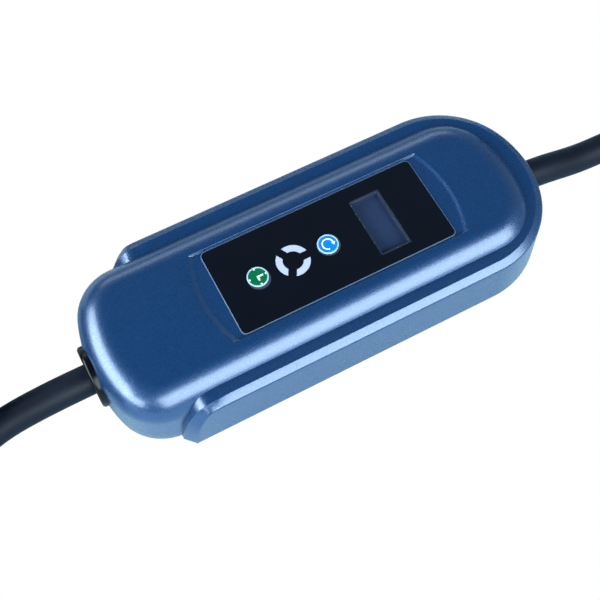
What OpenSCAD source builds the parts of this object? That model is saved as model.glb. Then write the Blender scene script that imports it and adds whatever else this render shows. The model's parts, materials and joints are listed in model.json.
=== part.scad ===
/* [Control box] */
// Length of the control box
box_l = 253; // [245:1:262]
// Width of the control box over its collar
box_w = 104; // [102:1:108]
// Height of the control box
box_h = 46.8; // [46:0.2:50]
// Height of the joint between the upper and the lower housing
parting_z = 11; // [10.5:0.25:11.5]
// Wall of both housings
wall = 2.6; // [2.2:0.1:3]

/* [Rounded top] */
// Width of the rounded top at its foot
crown_w = 89.2; // [87:0.2:91]
// Radius of the long rounded edge
crown_fillet = 16; // [13:0.5:16.5]
// Inward lean of the crown's side below its rounded edge
crown_draft = 0.6; // [0.4:0.1:1]
// Radius of the two vehicle-side corners, seen from above
crown_corner_r = 27; // [24:0.5:30]
// Radius of the vehicle-side end, seen from above
crown_end_r = 85; // [80:1:95]
// Radius of the two mains-side corners, seen from above
crown_far_corner_r = 31; // [28:0.5:34]
// Radius of the mains-side end of the crown, seen from above
crown_far_end_r = 79; // [74:1:85]
// How far the crown stops short of the collar at the mains side
crown_setback = 8; // [7:0.5:9]

/* [Collar] */
// Radius of the collar's corners, seen from above
collar_corner_r = 47.4; // [44:0.2:49]
// Radius of the collar's end, seen from above
collar_end_r = 61.4; // [58:0.2:66]
// Drop from the box's top to the foot of the collar's chamfer
collar_foot_drop = 7.4; // [7:0.2:8.5]
// Drop from the box's top to the collar's crest
collar_crest_drop = 5; // [4.4:0.1:5.4]
// Drop from the box's top to the groove beside the crown
collar_groove_drop = 5.9; // [5.6:0.1:6.6]
// Inward lean of the collar's outer wall
collar_lean = 1.2; // [0.6:0.1:1.8]
// Distance of the crest from the outer face
collar_crest_in = 5.4; // [4.6:0.1:6]
// Distance of the groove from the outer face
collar_groove_in = 11.5; // [10.5:0.1:12]
// Where the collar begins to fall away, from the vehicle end
collar_start = 47.5; // [44:0.5:52]
// Radius of the upper bend at the collar's two ends
collar_bend_r = 14; // [12:0.5:16]
// Radius of the lower sweep at the collar's two ends
collar_sweep_r = 38; // [34:1:42]
// Bevel at the outer edge of the collar's ends
collar_bevel = 5.2; // [4:0.2:6]

/* [Front panel] */
// Length of the glossy panel
panel_l = 121; // [116:0.5:123]
// Width of the glossy panel
panel_w = 50.6; // [48:0.2:51]
// Corner radius of the panel
panel_r = 3; // [1:0.5:5]
// Thickness of the panel
panel_t = 0.6; // [0.4:0.1:0.9]
// Distance of the panel's middle from the box's middle
panel_x = 6.5; // [5:0.5:8]
// Depth of the recess that the panel lies in
recess_depth = 1.2; // [1:0.1:1.4]
// Width of the recess
recess_w = 52; // [51.5:0.1:53]
// Radius of the recess's two curved ends
recess_end_r = 66; // [60:1:75]
// Length of the recess over its curved ends
recess_l = 140; // [136:1:144]

/* [Buttons and lamp] */
// Diameter of a button cap
button_d = 11.2; // [10:0.2:12]
// How far a button cap stands above the panel
button_proud = 0.5; // [0.3:0.1:0.8]
// Travel of a button
button_travel = 0.6; // [0.4:0.1:0.8]
// Place of the timer button along the box
timer_x = -33.5; // [-36:0.5:-32]
// Place of the reset button along the box
reset_x = 6; // [4.5:0.5:7]
// Place of the lamp ring along the box
lamp_x = -13.7; // [-15:0.1:-13]
// Outer radius of the lamp ring
lamp_r = 8.8; // [8:0.1:9.2]
// Width of the lamp ring's band
lamp_band = 3.5; // [3:0.1:4]
// Gap between two lamp segments
lamp_gap = 4.3; // [4:0.1:5]

/* [Display] */
// Length of the window across the box
window_l = 34.6; // [33:0.2:36]
// Width of the window along the box
window_w = 17; // [16:0.2:18]
// Place of the window along the box
window_x = 35.5; // [34:0.5:37]
// Place of the window across the box
window_y = -0.9; // [-2:0.1:0.5]
// Thickness of the window
window_t = 1.2; // [1:0.1:1.4]
// Ledge under the window's edge
window_ledge = 1; // [0.8:0.1:1.4]

/* [Cable] */
// Diameter of the charging cable
cable_d = 16; // [14:0.5:16.5]
// Height of the cable's axis where it leaves the vehicle end
vehicle_exit_z = 21; // [20.5:0.25:22]
// Height of the cable's axis where it leaves the mains end
mains_exit_z = 19; // [18.5:0.25:20]
// Wall of the two grommets round the cable
grommet_wall = 1.8; // [1.6:0.1:2]
// Radius of the vehicle grommet's outer flange
vehicle_flange_r = 15.3; // [14.5:0.1:16]
// Radius of the mains grommet's outer flange
mains_flange_r = 12.4; // [12.2:0.1:13]
// How far the vehicle grommet stands out of the housing
vehicle_flange_out = 3; // [2.6:0.1:4]
// How far the mains grommet stands out of the housing
mains_flange_out = 1.4; // [1:0.1:1.8]

/* [Coil] */
// Mean radius of the stored coil
coil_r = 90; // [88:1:92]
// Turns beside each other
coil_across = 3; // [3:1:4]
// Turns on each other
coil_up = 3; // [2:1:3]
// Thickness of a hook-and-loop tie
tie_t = 1.5; // [1:0.1:2]
// Width of a tie as an angle round the coil
tie_angle = 14; // [10:1:18]

/* [Vehicle connector] */
// Outer radius of the connector's collar
nose_r = 29; // [28:0.5:30]
// Depth of the connector's mouth
nose_depth = 32; // [28:1:36]
// Wall of the connector's collar
nose_wall = 2.8; // [2.4:0.1:3.2]
// Radius of the contact block in the mouth
block_r = 21; // [20.5:0.25:21.5]
// Bore of a power contact
contact_bore_d = 6; // [5.5:0.1:6.2]
// Bore of a pilot contact
pilot_bore_d = 3; // [2.6:0.1:3.4]
// Radius of the handle at its thick front
handle_front_r = 31; // [30:0.5:32]
// Radius of the grip at its slim rear
handle_rear_r = 15.5; // [15:0.25:17]

/* [Mains plug] */
// Outer radius of the plug's shroud
shroud_r = 30; // [29:0.5:31]
// Depth of the shroud in front of the pins' base
shroud_depth = 40; // [37:1:43]
// Wall of the shroud
shroud_wall = 3; // [2.5:0.1:3.5]
// Diameter of the line and neutral pins
pin_d = 6; // [5.6:0.1:6.4]
// Diameter of the earth pin
earth_pin_d = 8; // [7.6:0.1:8.4]
// Radius of the circle that the pins stand on
pin_circle_r = 13; // [12:0.5:14]

/* [Hidden] */
$fn = 72;
far = 200;
end_x = box_l / 2;
half_w = box_w / 2;
crown_half = crown_w / 2;
cavity_top = box_h - wall;
fit = 0.1;
face_gap = 0.3;

// Levels of the panel, counted from the recess floor
recess_z = box_h - recess_depth;
panel_top = recess_z + panel_t;

// Levels of a button: its flange hangs under the housing's roof
flange_t = 1.4;
flange_top = cavity_top - face_gap;
stem_bottom = flange_top - flange_t - 0.4;
button_bodies = [timer_x, reset_x];

// Levels of the two boards
switch_top = stem_bottom - button_travel - face_gap;
switch_h = 3;
board_t = 1.6;
display_board_top = switch_top - switch_h;
display_board_size = [104, 46];
main_board_z = 12.4;
main_board_size = [140, 66];
main_board_top = main_board_z + board_t;
tray_floor = 2.5;

// The outline of the lower housing leans in below the joint
tray_inset = 0.4;
tray_lean = 5.5;

// Cable
cable_r = cable_d / 2;
cable_bore_r = cable_r + 0.05;
neck_r = cable_bore_r + grommet_wall;
hole_r = neck_r + fit;
wall_seat = 1.5;
cord_cut = 26;
vehicle_cut_x = -end_x + cord_cut;
mains_cut_x = end_x - cord_cut - 2;
cord_sides = 12;

// Screws
screw_d = 3;
screw_head_d = 5.6;
housing_screw_l = 18;
clamp_screw_l = 12;
board_screw_l = 6;
boss_r = 4.2;
boss_places = [[18.5 - end_x, 31], [0, half_w - 7.5], [end_x - 27.5, 35]];
clamp_l = 9;
clamp_screw_y = 14;
clamp_lug = 4;
clamp_seat_h = 4;
clamp_head_h = 2;

// The coil lies beside the box, held up from the floor by its ties
coil_from_box = 157.5;
coil_at = [-coil_from_box - end_x, 66];
coil_w = coil_across * cable_d;
coil_h = coil_up * cable_d;
coil_in = coil_r - coil_w / 2;
coil_out = coil_r + coil_w / 2;
coil_top = tie_t + coil_h;
tie_places = [15, 135, 255];

// Vehicle connector: lies on the coil, facing +X
connector_y = 140;
connector_from_box = 165.5;
connector_tail_x = -connector_from_box - end_x;
handle_l = 100;
nose_x = connector_tail_x + handle_l;
nose_z = coil_top + handle_front_r + 0.5;
tail_z = 65.5;
contact_l = 24;
power_places = [[0, 0], [-14.5, 0], [14.5, 0], [-7.4, -12.6], [7.4, -12.6]];
pilot_places = [[-6.6, 11.4], [6.6, 11.4]];
contact_wall = 0.8;
nose_flat = 24;

// Mains plug: lies on the floor, facing +Y
plug_from_box = 177.5;
plug_x = end_x + plug_from_box;
plug_z = shroud_r + 0.8;
plug_tail_y = 62;
nut_l = 22;
plug_body_l = 50;
plug_body_y = plug_tail_y + nut_l;
shroud_y = plug_body_y + plug_body_l;
pin_l = 34;

// Routes of the free cable, as points that it passes through, counted from the box's two ends
vehicle_route = [for (p = [[cord_cut, 0, vehicle_exit_z], [12.5, 0, vehicle_exit_z],
    [-1.5, 0, vehicle_exit_z], [-13.5, 0, vehicle_exit_z], [-23.5, 0, 20.6], [-35.5, 0, 19.4],
    [-47.5, -0.2, 17.4], [-59.5, -1.9, 15], [-71.5, -5.5, 12.7], [-82.5, -11, 11],
    [-93.5, -18.4, 10], [-107.5, -27.4, 9.6], [-123.5, -34.4, 9.5], [-142.8, -39, 9.5]])
    p - [end_x, 0, 0]];
connector_route = [for (p = [[-249.3, 13, 45.2], [-258.3, 33.2, 48.1], [-262.9, 54.9, 51.5],
    [-262.8, 78.4, 55.2], [-256.7, 99.7, 58.7], [-244.5, 117.8, 61.6], [-227.3, 131.3, 63.9],
    [-210.4, 137.9, 65.1], [-193.5, 140, tail_z], [-179.5, 140, tail_z], [-165.5, 140, tail_z],
    [-151.5, 140, tail_z]]) p - [end_x, 0, 0]];
mains_route = [for (p = [[-cord_cut - 2, 0, mains_exit_z], [-16.5, 0, mains_exit_z],
    [-4.5, 0, mains_exit_z], [8.5, 0, 18], [21.5, 0, 15], [31.5, 0, 11.9], [39.5, 0, 9.8],
    [47.5, 0, 8.6], [60.5, 0, 8.1], [74.5, -1, 8.1], [89.5, -5, 8.1], [111.5, -9, 8.8],
    [136.5, -4, 12.4], [157.5, 10, 18.4], [171.5, 31, 25], [177.5, 56, 29.6],
    [177.5, 72, plug_z], [177.5, 88, plug_z]]) p + [end_x, 0, 0]];

// Smooth curve through the points of a route: a cubic between each pair
function knot(p, i) = p[max(0, min(len(p) - 1, i))];
function between(p, i, t) =
    let (a = knot(p, i - 1), b = knot(p, i), c = knot(p, i + 1), d = knot(p, i + 2))
    0.5 * (2 * b + (c - a) * t + (2 * a - 5 * b + 4 * c - d) * t * t
        + (3 * b - a - 3 * c + d) * t * t * t);
function curve(p, steps) = concat(
    [for (i = [0:len(p) - 2], k = [0:steps - 1]) between(p, i, k / steps)], [p[len(p) - 1]]);
function unit(v) = v / norm(v);
function heading(c, i) = unit(c[min(len(c) - 1, i + 1)] - c[max(0, i - 1)]);
function sideways(h) = unit(cross([0, 0, 1], h));

// A tube of a given radius along a route, as rings of points joined by strips
module tube(route, radius, steps = 2) {
    c = curve(route, steps);
    n = cord_sides;
    rings = [for (i = [0:len(c) - 1]) let (h = heading(c, i), s = sideways(h), u = cross(h, s))
        for (k = [0:n - 1]) c[i] + radius * (cos(360 * k / n) * s + sin(360 * k / n) * u)];
    last = (len(c) - 1) * n;
    skin = [for (i = [0:len(c) - 2], k = [0:n - 1]) let (a = i * n + k, b = i * n + (k + 1) % n)
        each [[a, a + n, b + n], [a, b + n, b]]];
    polyhedron(rings, concat(skin, [[for (k = [0:n - 1]) k]], [[for (k = [n - 1:-1:0]) last + k]]));
}

// Points along an arc, both ends included
function arc_points(c, r, from, to, steps) =
    [for (k = [0:steps]) let (t = from + (to - from) * k / steps) c + r * [cos(t), sin(t)]];

// One rounded end seen from above: corner, shallow arc, corner, each running into the next
function end_points(w, xe, rc, re) =
    let (reach = sqrt(pow(re - rc, 2) - pow(w - rc, 2)), turn = atan2(w - rc, reach),
        corner_x = xe - re + reach)
    concat(arc_points([corner_x, rc - w], rc, -90, -turn, corner_steps),
        [for (k = [1:end_steps - 1]) let (t = -turn + 2 * turn * k / end_steps)
            [xe - re, 0] + re * [cos(t), sin(t)]],
        arc_points([corner_x, w - rc], rc, turn, 90, corner_steps));
corner_steps = 9;
end_steps = 6;

function mirrored(points) =
    [for (k = [len(points) - 1:-1:0]) [-points[k][0], points[k][1]]];

// The crown's and the collar's outlines, drawn in by an inset
function crown_points(inset) = concat(
    end_points(crown_half - inset, end_x - crown_setback - inset, crown_far_corner_r - inset,
        crown_far_end_r - inset),
    mirrored(end_points(crown_half - inset, end_x - inset, crown_corner_r - inset,
        crown_end_r - inset)));
function collar_points(inset, x_from) = concat(
    end_points(half_w - inset, end_x - inset, collar_corner_r - inset, collar_end_r - inset),
    [[x_from, half_w - inset], [x_from, inset - half_w]]);

// Closed skin through a stack of outlines that all have the same number of points
module loft(heights, outlines) {
    n = len(outlines[0]);
    m = len(outlines);
    points = [for (k = [0:m - 1], p = outlines[k]) [p[0], p[1], heights[k]]];
    skin = [for (k = [0:m - 2], i = [0:n - 1]) let (a = k * n + i, b = k * n + (i + 1) % n)
        each [[a, a + n, b + n], [a, b + n, b]]];
    polyhedron(points, concat(skin, [[for (i = [0:n - 1]) i]],
        [[for (i = [n - 1:-1:0]) (m - 1) * n + i]]));
}

// Crown: leaning wall, then a round edge, then the flat top
edge_steps = 6;
module crown(inset = 0, from_z = parting_z) {
    edge_r = crown_fillet - inset;
    edge_z = box_h - crown_fillet;
    turns = [for (k = [0:edge_steps]) 90 * k / edge_steps];
    loft(concat([from_z], [for (t = turns) edge_z + edge_r * sin(t)]),
        concat([crown_points(inset)],
            [for (t = turns) crown_points(inset + crown_draft + edge_r * (1 - cos(t)))]));
}

// Collar: leaning wall, chamfer up to the crest, fall to the groove beside the crown
module collar_form() {
    loft([parting_z, box_h - collar_foot_drop, crest_z, box_h - collar_groove_drop],
        [for (inset = [0, collar_lean, collar_crest_in, collar_groove_in])
            collar_points(inset, collar_foot_x() - 1)]);
}

// Outline of the collar's end seen from the side: a bend, a longer sweep, then straight down
collar_turn = 50;
collar_last = 80;
collar_x = -end_x + collar_start;
crest_z = box_h - collar_crest_drop;
bend_at = [collar_x, crest_z - collar_bend_r];
bend_end = bend_at + collar_bend_r * [-sin(collar_turn), cos(collar_turn)];
sweep_at = bend_end - collar_sweep_r * [-sin(collar_turn), cos(collar_turn)];
sweep_end = sweep_at + collar_sweep_r * [-sin(collar_last), cos(collar_last)];
collar_foot = sweep_end + (sweep_end[1] - parting_z + 1) * [-1 / tan(collar_last), -1];
function collar_end_curve() = concat(
    [for (a = [0:10:collar_turn]) bend_at + collar_bend_r * [-sin(a), cos(a)]],
    [for (a = [collar_turn + 7.5:7.5:collar_last])
        sweep_at + collar_sweep_r * [-sin(a), cos(a)]],
    [collar_foot]);
function collar_foot_x() = collar_foot[0];

// Body whose front face has that outline, slanting back outside the crest
module collar_end_form() {
    bevel_from = half_w - collar_crest_in;
    shift = collar_bevel * (collar_crest_in + 2) / collar_crest_in;
    profile = concat(collar_end_curve(),
        [[far, collar_foot[1]], [far, crest_z + 5], [collar_x, crest_z + 5]]);
    rotate([90, 0, 0]) loft([-half_w - 2, -bevel_from, bevel_from, half_w + 2],
        [for (s = [shift, 0, 0, shift]) [for (p = profile) p + [s, 0]]]);
}

module collar() {
    intersection() {
        collar_form();
        collar_end_form();
    }
}

// Outline of crown and collar together, seen from above
module outline(inset) {
    start = collar_foot_x() + inset;
    polygon(crown_points(inset));
    intersection() {
        polygon(collar_points(inset, start));
        polygon([[start, crown_half - inset - 1], [start + collar_bevel, half_w - inset + 1],
            [far, far], [far, -far], [start + collar_bevel, inset - half_w - 1],
            [start, inset + 1 - crown_half]]);
    }
}

// Bore along X, from x_from to x_to
module bore_x(x_from, x_to, radius, z) {
    translate([x_from, 0, z]) rotate([0, 90, 0]) cylinder(h = x_to - x_from, r = radius);
}

module at_bosses() {
    for (place = boss_places, side = [-1, 1]) translate([place[0], side * place[1], 0]) children();
}

module at_display_posts() {
    for (sx = [-1, 1], sy = [-1, 1])
        translate([panel_x + sx * (display_board_size[0] / 2 - 4),
            sy * (display_board_size[1] / 2 - 4), 0]) children();
}

module recess_outline() {
    half = recess_l / 2;
    translate([panel_x, 0]) intersection() {
        square([2 * far, recess_w], center = true);
        union() {
            translate([recess_end_r - half, 0]) circle(recess_end_r);
            translate([half - recess_end_r, 0]) circle(recess_end_r);
        }
    }
}

// Ring of three segments; the gaps between them have parallel sides
lamp_gap_places = [0, 120, 240];
module lamp_outline(grow = 0) {
    translate([lamp_x, 0]) difference() {
        circle(lamp_r + grow);
        circle(lamp_r - lamp_band - grow);
        for (a = lamp_gap_places) rotate(a) translate([0, grow - lamp_gap / 2])
            square([2 * lamp_r, lamp_gap - 2 * grow]);
    }
}

module window_outline(grow) {
    translate([window_x, window_y]) square([window_w + 2 * grow, window_l + 2 * grow],
        center = true);
}

module upper_housing() {
    boss_top = box_h - collar_groove_drop - wall / 2;
    collar_room = box_h - collar_groove_drop - wall;
    color("#2a5a92") difference() {
        union() {
            difference() {
                union() {
                    crown();
                    collar();
                }
                crown(wall, parting_z - 1);
                translate([0, 0, parting_z - 1]) linear_extrude(collar_room - parting_z + 1)
                    polygon(collar_points(wall + collar_lean, collar_x));
            }
            at_bosses() translate([0, 0, parting_z]) cylinder(h = boss_top - parting_z, r = boss_r);
            at_display_posts() translate([0, 0, display_board_top])
                cylinder(h = cavity_top + 0.5 - display_board_top, r = 3);
            difference() {
                union() {
                    bore_x(wall_seat - end_x, wall_seat + 5 - end_x, hole_r + 3, vehicle_exit_z);
                    bore_x(end_x - wall_seat - 8, end_x - wall_seat, hole_r + 2, mains_exit_z);
                }
                translate([-far, -far, parting_z - far]) cube([2 * far, 2 * far, far]);
            }
        }
        translate([0, 0, recess_z]) linear_extrude(far) recess_outline();
        translate([0, 0, cavity_top - 1]) linear_extrude(far) window_outline(-window_ledge);
        translate([0, 0, panel_top - window_t]) linear_extrude(far) window_outline(fit);
        translate([0, 0, cavity_top - 1]) linear_extrude(far) lamp_outline(fit);
        for (x = button_bodies) translate([x, 0, cavity_top - 1])
            cylinder(h = far, r = button_d / 2 + face_gap);
        at_bosses() translate([0, 0, parting_z - 1]) cylinder(h = 16, d = screw_d - 0.5);
        at_display_posts() translate([0, 0, display_board_top - 1])
            cylinder(h = 4.5, d = screw_d - 1);
        bore_x(-far, -end_x + wall_seat, vehicle_flange_r + fit, vehicle_exit_z);
        bore_x(-far, 8 - end_x, hole_r, vehicle_exit_z);
        bore_x(end_x - wall_seat, far, mains_flange_r + fit, mains_exit_z);
        bore_x(end_x - 12, far, hole_r, mains_exit_z);
    }
}

// Tray under the joint: its sides lean in to a flat floor
module tray(inset) {
    lean = inset + tray_lean;
    low_z = inset > tray_inset ? tray_floor : 0;
    top_z = inset > tray_inset ? parting_z + 1 : parting_z;
    loft([low_z, top_z], [crown_points(lean), crown_points(inset)]);
    loft([low_z, top_z], [collar_points(lean, collar_foot_x() + collar_bevel + lean),
        collar_points(inset, collar_foot_x() + collar_bevel + inset)]);
}

module clamp_block(x, z) {
    translate([x - clamp_l / 2, -clamp_screw_y - clamp_lug, 1])
        cube([clamp_l, 2 * (clamp_screw_y + clamp_lug), z - 1 - face_gap]);
}

clamp_places = [[18.5 - end_x, vehicle_exit_z], [end_x - 20, mains_exit_z]];

module lower_housing() {
    color("#1c2430") difference() {
        union() {
            difference() {
                tray(tray_inset);
                tray(tray_inset + wall);
            }
            at_bosses() translate([0, 0, 0.5]) cylinder(h = parting_z - 0.5, r = boss_r);
            for (place = clamp_places) clamp_block(place[0], place[1]);
            at_board_posts() translate([0, 0, 1]) cylinder(h = main_board_z - 1, r = 3.2);
            translate([sensor_x - sensor_w / 2, -9, 1]) cube([sensor_w, 18, 12]);
        }
        translate([0, 0, parting_z - seal_h]) linear_extrude(seal_h + 1) seal_outline();
        at_bosses() {
            translate([0, 0, -1]) cylinder(h = far, d = screw_d + 0.4);
            translate([0, 0, -1]) cylinder(h = 4, d = screw_head_d + 0.6);
        }
        for (place = clamp_places) {
            bore_x(place[0] - clamp_l, place[0] + clamp_l, cable_bore_r, place[1]);
            for (side = [-1, 1]) translate([place[0], side * clamp_screw_y, place[1] - 9])
                cylinder(h = far, d = screw_d - 0.5);
        }
        at_board_posts() translate([0, 0, main_board_z - 7]) cylinder(h = far, d = screw_d - 0.5);
        bore_x(sensor_x - sensor_w, sensor_x + sensor_w, sensor_r + 0.05, vehicle_exit_z);
        bore_x(-far, 6 - end_x, vehicle_flange_r + face_gap, vehicle_exit_z);
        bore_x(end_x - 8, far, mains_flange_r + face_gap, mains_exit_z);
    }
}

// Soft seal in a groove of the lower housing's joint face
seal_h = 1;
module seal_outline() {
    difference() {
        outline(tray_inset + 0.8);
        outline(tray_inset + 1.8);
    }
}

module housing_seal() {
    color("#3a3d42") translate([0, 0, parting_z - seal_h]) linear_extrude(seal_h)
        difference() {
            seal_outline();
            translate([-far - end_x + 6, -vehicle_flange_r - face_gap])
                square([far, 2 * (vehicle_flange_r + face_gap)]);
            translate([end_x - 8, -mains_flange_r - face_gap])
                square([far, 2 * (mains_flange_r + face_gap)]);
        }
}

module rounded_plate(size, r, h) {
    linear_extrude(h) union() {
        square([size[0] - 2 * r, size[1]], center = true);
        square([size[0], size[1] - 2 * r], center = true);
        for (sx = [-1, 1], sy = [-1, 1])
            translate([sx * (size[0] / 2 - r), sy * (size[1] / 2 - r)]) circle(r);
    }
}

module front_panel() {
    color("#10151f") difference() {
        translate([panel_x, 0, recess_z]) rounded_plate([panel_l, panel_w], panel_r, panel_t);
        translate([0, 0, recess_z - 1]) linear_extrude(panel_t + 2) {
            window_outline(fit);
            lamp_outline(fit);
        }
        for (x = button_bodies) translate([x, 0, recess_z - 1])
            cylinder(h = panel_t + 2, r = button_d / 2 + fit);
    }
}

module display_window() {
    color("#5a6577") translate([0, 0, panel_top - window_t]) linear_extrude(window_t)
        window_outline(0);
}

module lcd_display() {
    lcd_top = cavity_top - 1.2;
    color("#4a566b") union() {
        translate([window_x, window_y, display_board_top])
            linear_extrude(lcd_top - display_board_top)
                square([window_w + 3, window_l + 5], center = true);
        translate([window_x, window_y, display_board_top]) linear_extrude(1.5)
            square([window_w + 6, window_l + 8], center = true);
    }
}

// Button: cap in the panel, wider flange under the roof, stem above its switch
module button(x) {
    translate([x, 0, 0]) {
        translate([0, 0, flange_top - flange_t / 2])
            cylinder(h = panel_top + button_proud - flange_top + flange_t / 2, r = button_d / 2);
        translate([0, 0, flange_top - flange_t]) cylinder(h = flange_t, r = button_d / 2 + 1.2);
        translate([0, 0, stem_bottom]) cylinder(h = 1, r = 2);
    }
}

module timer_button() { color("#128c4a") button(timer_x); }
module reset_button() { color("#17a9ee") button(reset_x); }

module status_light_guide() {
    color("#e8eaf2") union() {
        translate([0, 0, cavity_top - 0.5]) linear_extrude(panel_top - cavity_top + 0.5)
            lamp_outline(0);
        translate([lamp_x, 0, cavity_top - 1.7]) difference() {
            cylinder(h = 1.7, r = lamp_r + 1);
            translate([0, 0, -1]) cylinder(h = 4, r = lamp_r - lamp_band - 1);
        }
    }
}

module status_leds() {
    color("#f4f6f0") for (a = lamp_gap_places)
        translate([lamp_x, 0, display_board_top]) rotate(a + 60)
            translate([lamp_r - lamp_band / 2 - 1.5, -1.5, 0]) cube([3, 3, 1.2]);
}

module tactile_switches() {
    color("#b9bcc2") for (x = button_bodies) translate([x, 0, display_board_top]) {
        translate([-3, -3, 0]) cube([6, 6, switch_h - 0.8]);
        cylinder(h = switch_h, r = 1.7);
    }
}

module display_board() {
    color("#1e6b45") difference() {
        translate([panel_x, 0, display_board_top - board_t])
            rounded_plate(display_board_size, 2, board_t);
        at_display_posts() translate([0, 0, display_board_top - board_t - 1])
            cylinder(h = board_t + 2, d = screw_d);
    }
}

// Pan-head screw with its head below and its shank upwards
module screw(shank_d, shank_l, head_d, head_h) {
    cylinder(h = head_h + shank_l, d = shank_d);
    cylinder(h = head_h, d = head_d);
}

module display_board_screws() {
    color("#c9ccd1") at_display_posts()
        translate([0, 0, display_board_top - board_t - 1.6]) screw(screw_d - 1, 4.8, 4, 1.6);
}

module at_board_posts() {
    for (sx = [-1, 1], sy = [-1, 1])
        translate([panel_x - 2 + sx * (main_board_size[0] / 2 - 5),
            sy * (main_board_size[1] / 2 - 5), 0]) children();
}

module main_board() {
    color("#1d5c3c") difference() {
        translate([panel_x - 2, 0, main_board_z]) rounded_plate(main_board_size, 3, board_t);
        at_board_posts() translate([0, 0, main_board_z - 1])
            cylinder(h = board_t + 2, d = screw_d + 0.4);
    }
}

module board_screws() {
    color("#c9ccd1") at_board_posts() translate([0, 0, main_board_top + 1.8]) mirror([0, 0, 1])
        screw(screw_d - 0.5, board_screw_l, 5.2, 1.8);
}

relay_size = [16, 29, 18];
module power_relays() {
    color("#1b1d22") for (k = [0, 1], side = [-1, 1])
        translate([panel_x + 15.5 + k * (relay_size[0] + 2), side * (relay_size[1] / 2 + 1.5)
            - relay_size[1] / 2, main_board_top]) cube(relay_size);
}

module supply_transformer() {
    color("#c2b36a") translate([-12, 2, main_board_top]) {
        cube([24, 26, 3]);
        translate([3, 3, 0]) cube([18, 20, 17]);
    }
}

module supply_capacitors() {
    color("#2b3d66") for (p = [[-28, 18], [-28, -2], [-28, -21]])
        translate([p[0], p[1], main_board_top]) cylinder(h = 16, r = 5.5);
}

module mains_fuse() {
    color("#d8d2c4") translate([8, -16, main_board_top + 4.2]) rotate([90, 0, 90])
        cylinder(h = 20, r = 3.2, center = true);
    color("#d8d2c4") for (x = [0, 13]) translate([x, -17.5, main_board_top]) cube([3, 3, 4]);
}

terminal_l = 12;
mains_terminal_x = panel_x - 2 + main_board_size[0] / 2 - terminal_l;
vehicle_terminal_x = panel_x - 2 - main_board_size[0] / 2;
core_r = 2.2;
core_pitch = 5.2;

module terminals(x, z) {
    difference() {
        translate([x, -13, main_board_top]) cube([terminal_l, 26, z + 5 - main_board_top]);
        for (k = [-1, 0, 1]) translate([x - 1, k * core_pitch, z]) rotate([0, 90, 0])
            cylinder(h = terminal_l + 2, r = core_r);
        for (k = [-1, 0, 1]) translate([x + terminal_l / 2, k * core_pitch, z])
            cylinder(h = 10, r = 1.6);
    }
}

module mains_terminals() { color("#5f7d5a") terminals(mains_terminal_x, mains_exit_z); }
module vehicle_terminals() { color("#5f7d5a") terminals(vehicle_terminal_x, vehicle_exit_z); }

module cores(x_from, x_to, z) {
    for (k = [-1, 0, 1]) translate([x_from, k * core_pitch, z]) rotate([0, 90, 0])
        cylinder(h = x_to - x_from, r = core_r);
}

module mains_cores() {
    color("#7a4a2e") cores(mains_terminal_x + 2, mains_cut_x, mains_exit_z);
}

module vehicle_cores() {
    color("#3a62a8") cores(vehicle_cut_x, vehicle_terminal_x + terminal_l - 2, vehicle_exit_z);
}

// Ring round all three power cores, seated in a cradle of the lower housing
sensor_w = 12;
sensor_gap = 10.5;
sensor_x = vehicle_terminal_x - sensor_gap - sensor_w / 2;
sensor_r = 14;
module leakage_sensor() {
    color("#23262b") difference() {
        bore_x(sensor_x - sensor_w / 2, sensor_x + sensor_w / 2, sensor_r, vehicle_exit_z);
        bore_x(sensor_x - sensor_w, sensor_x + sensor_w, sensor_r - 6, vehicle_exit_z);
    }
}

// Upper half of each cord clamp
module cord_clamps() {
    color("#2c2f34") for (place = clamp_places) difference() {
        translate([place[0] - clamp_l / 2, -clamp_screw_y - clamp_lug, place[1]])
            cube([clamp_l, 2 * (clamp_screw_y + clamp_lug), cable_r + 3]);
        bore_x(place[0] - clamp_l, place[0] + clamp_l, cable_bore_r, place[1]);
        for (side = [-1, 1]) translate([place[0], side * clamp_screw_y, place[1] - 1]) {
            cylinder(h = far, d = screw_d + 0.4);
            translate([0, 0, clamp_seat_h + 1]) cylinder(h = far, d = screw_head_d + 1);
        }
    }
}

module clamp_screws() {
    color("#c9ccd1") for (place = clamp_places, side = [-1, 1])
        translate([place[0], side * clamp_screw_y, place[1] + clamp_seat_h + clamp_head_h])
            mirror([0, 0, 1]) screw(screw_d - 0.5, clamp_screw_l, screw_head_d, clamp_head_h);
}

module housing_screws() {
    color("#9fa3a9") at_bosses() translate([0, 0, 0.8])
        screw(screw_d - 0.5, housing_screw_l, screw_head_d, 2.2);
}

// Grommet about the X axis: inner bead, neck in the wall, flange and a second lip outside
module grommet(flange_r, out, lip_r) {
    lip = out / 2;
    rotate_extrude() difference() {
        union() {
            square([neck_r, wall_seat + out + 3]);
            translate([0, 3]) square([flange_r - lip / 2, wall_seat + lip]);
            translate([0, 3]) square([flange_r, wall_seat + lip / 2]);
            translate([flange_r - lip / 2, 3 + wall_seat + lip / 2]) circle(lip / 2);
            translate([0, 3 + wall_seat]) square([lip_r - 1, out]);
            translate([lip_r - 1, 3 + wall_seat + out - 1]) circle(min(1, lip_r - neck_r));
        }
        translate([-far, -1]) square([far + cable_bore_r, far]);
    }
}

module vehicle_grommet() {
    color("#16181c") translate([wall_seat + 3 - end_x, 0, vehicle_exit_z]) rotate([0, -90, 0])
        grommet(vehicle_flange_r, vehicle_flange_out, vehicle_flange_r - 1.4);
}

module mains_grommet() {
    color("#16181c") translate([end_x - wall_seat - 3, 0, mains_exit_z]) rotate([0, 90, 0])
        grommet(mains_flange_r, mains_flange_out, mains_flange_r - 1.2);
}

module vehicle_cord() { color("#3c3e42") tube(vehicle_route, cable_r); }
module connector_cord() { color("#3c3e42") tube(connector_route, cable_r); }
module mains_cord() { color("#3c3e42") tube(mains_route, cable_r); }

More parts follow.
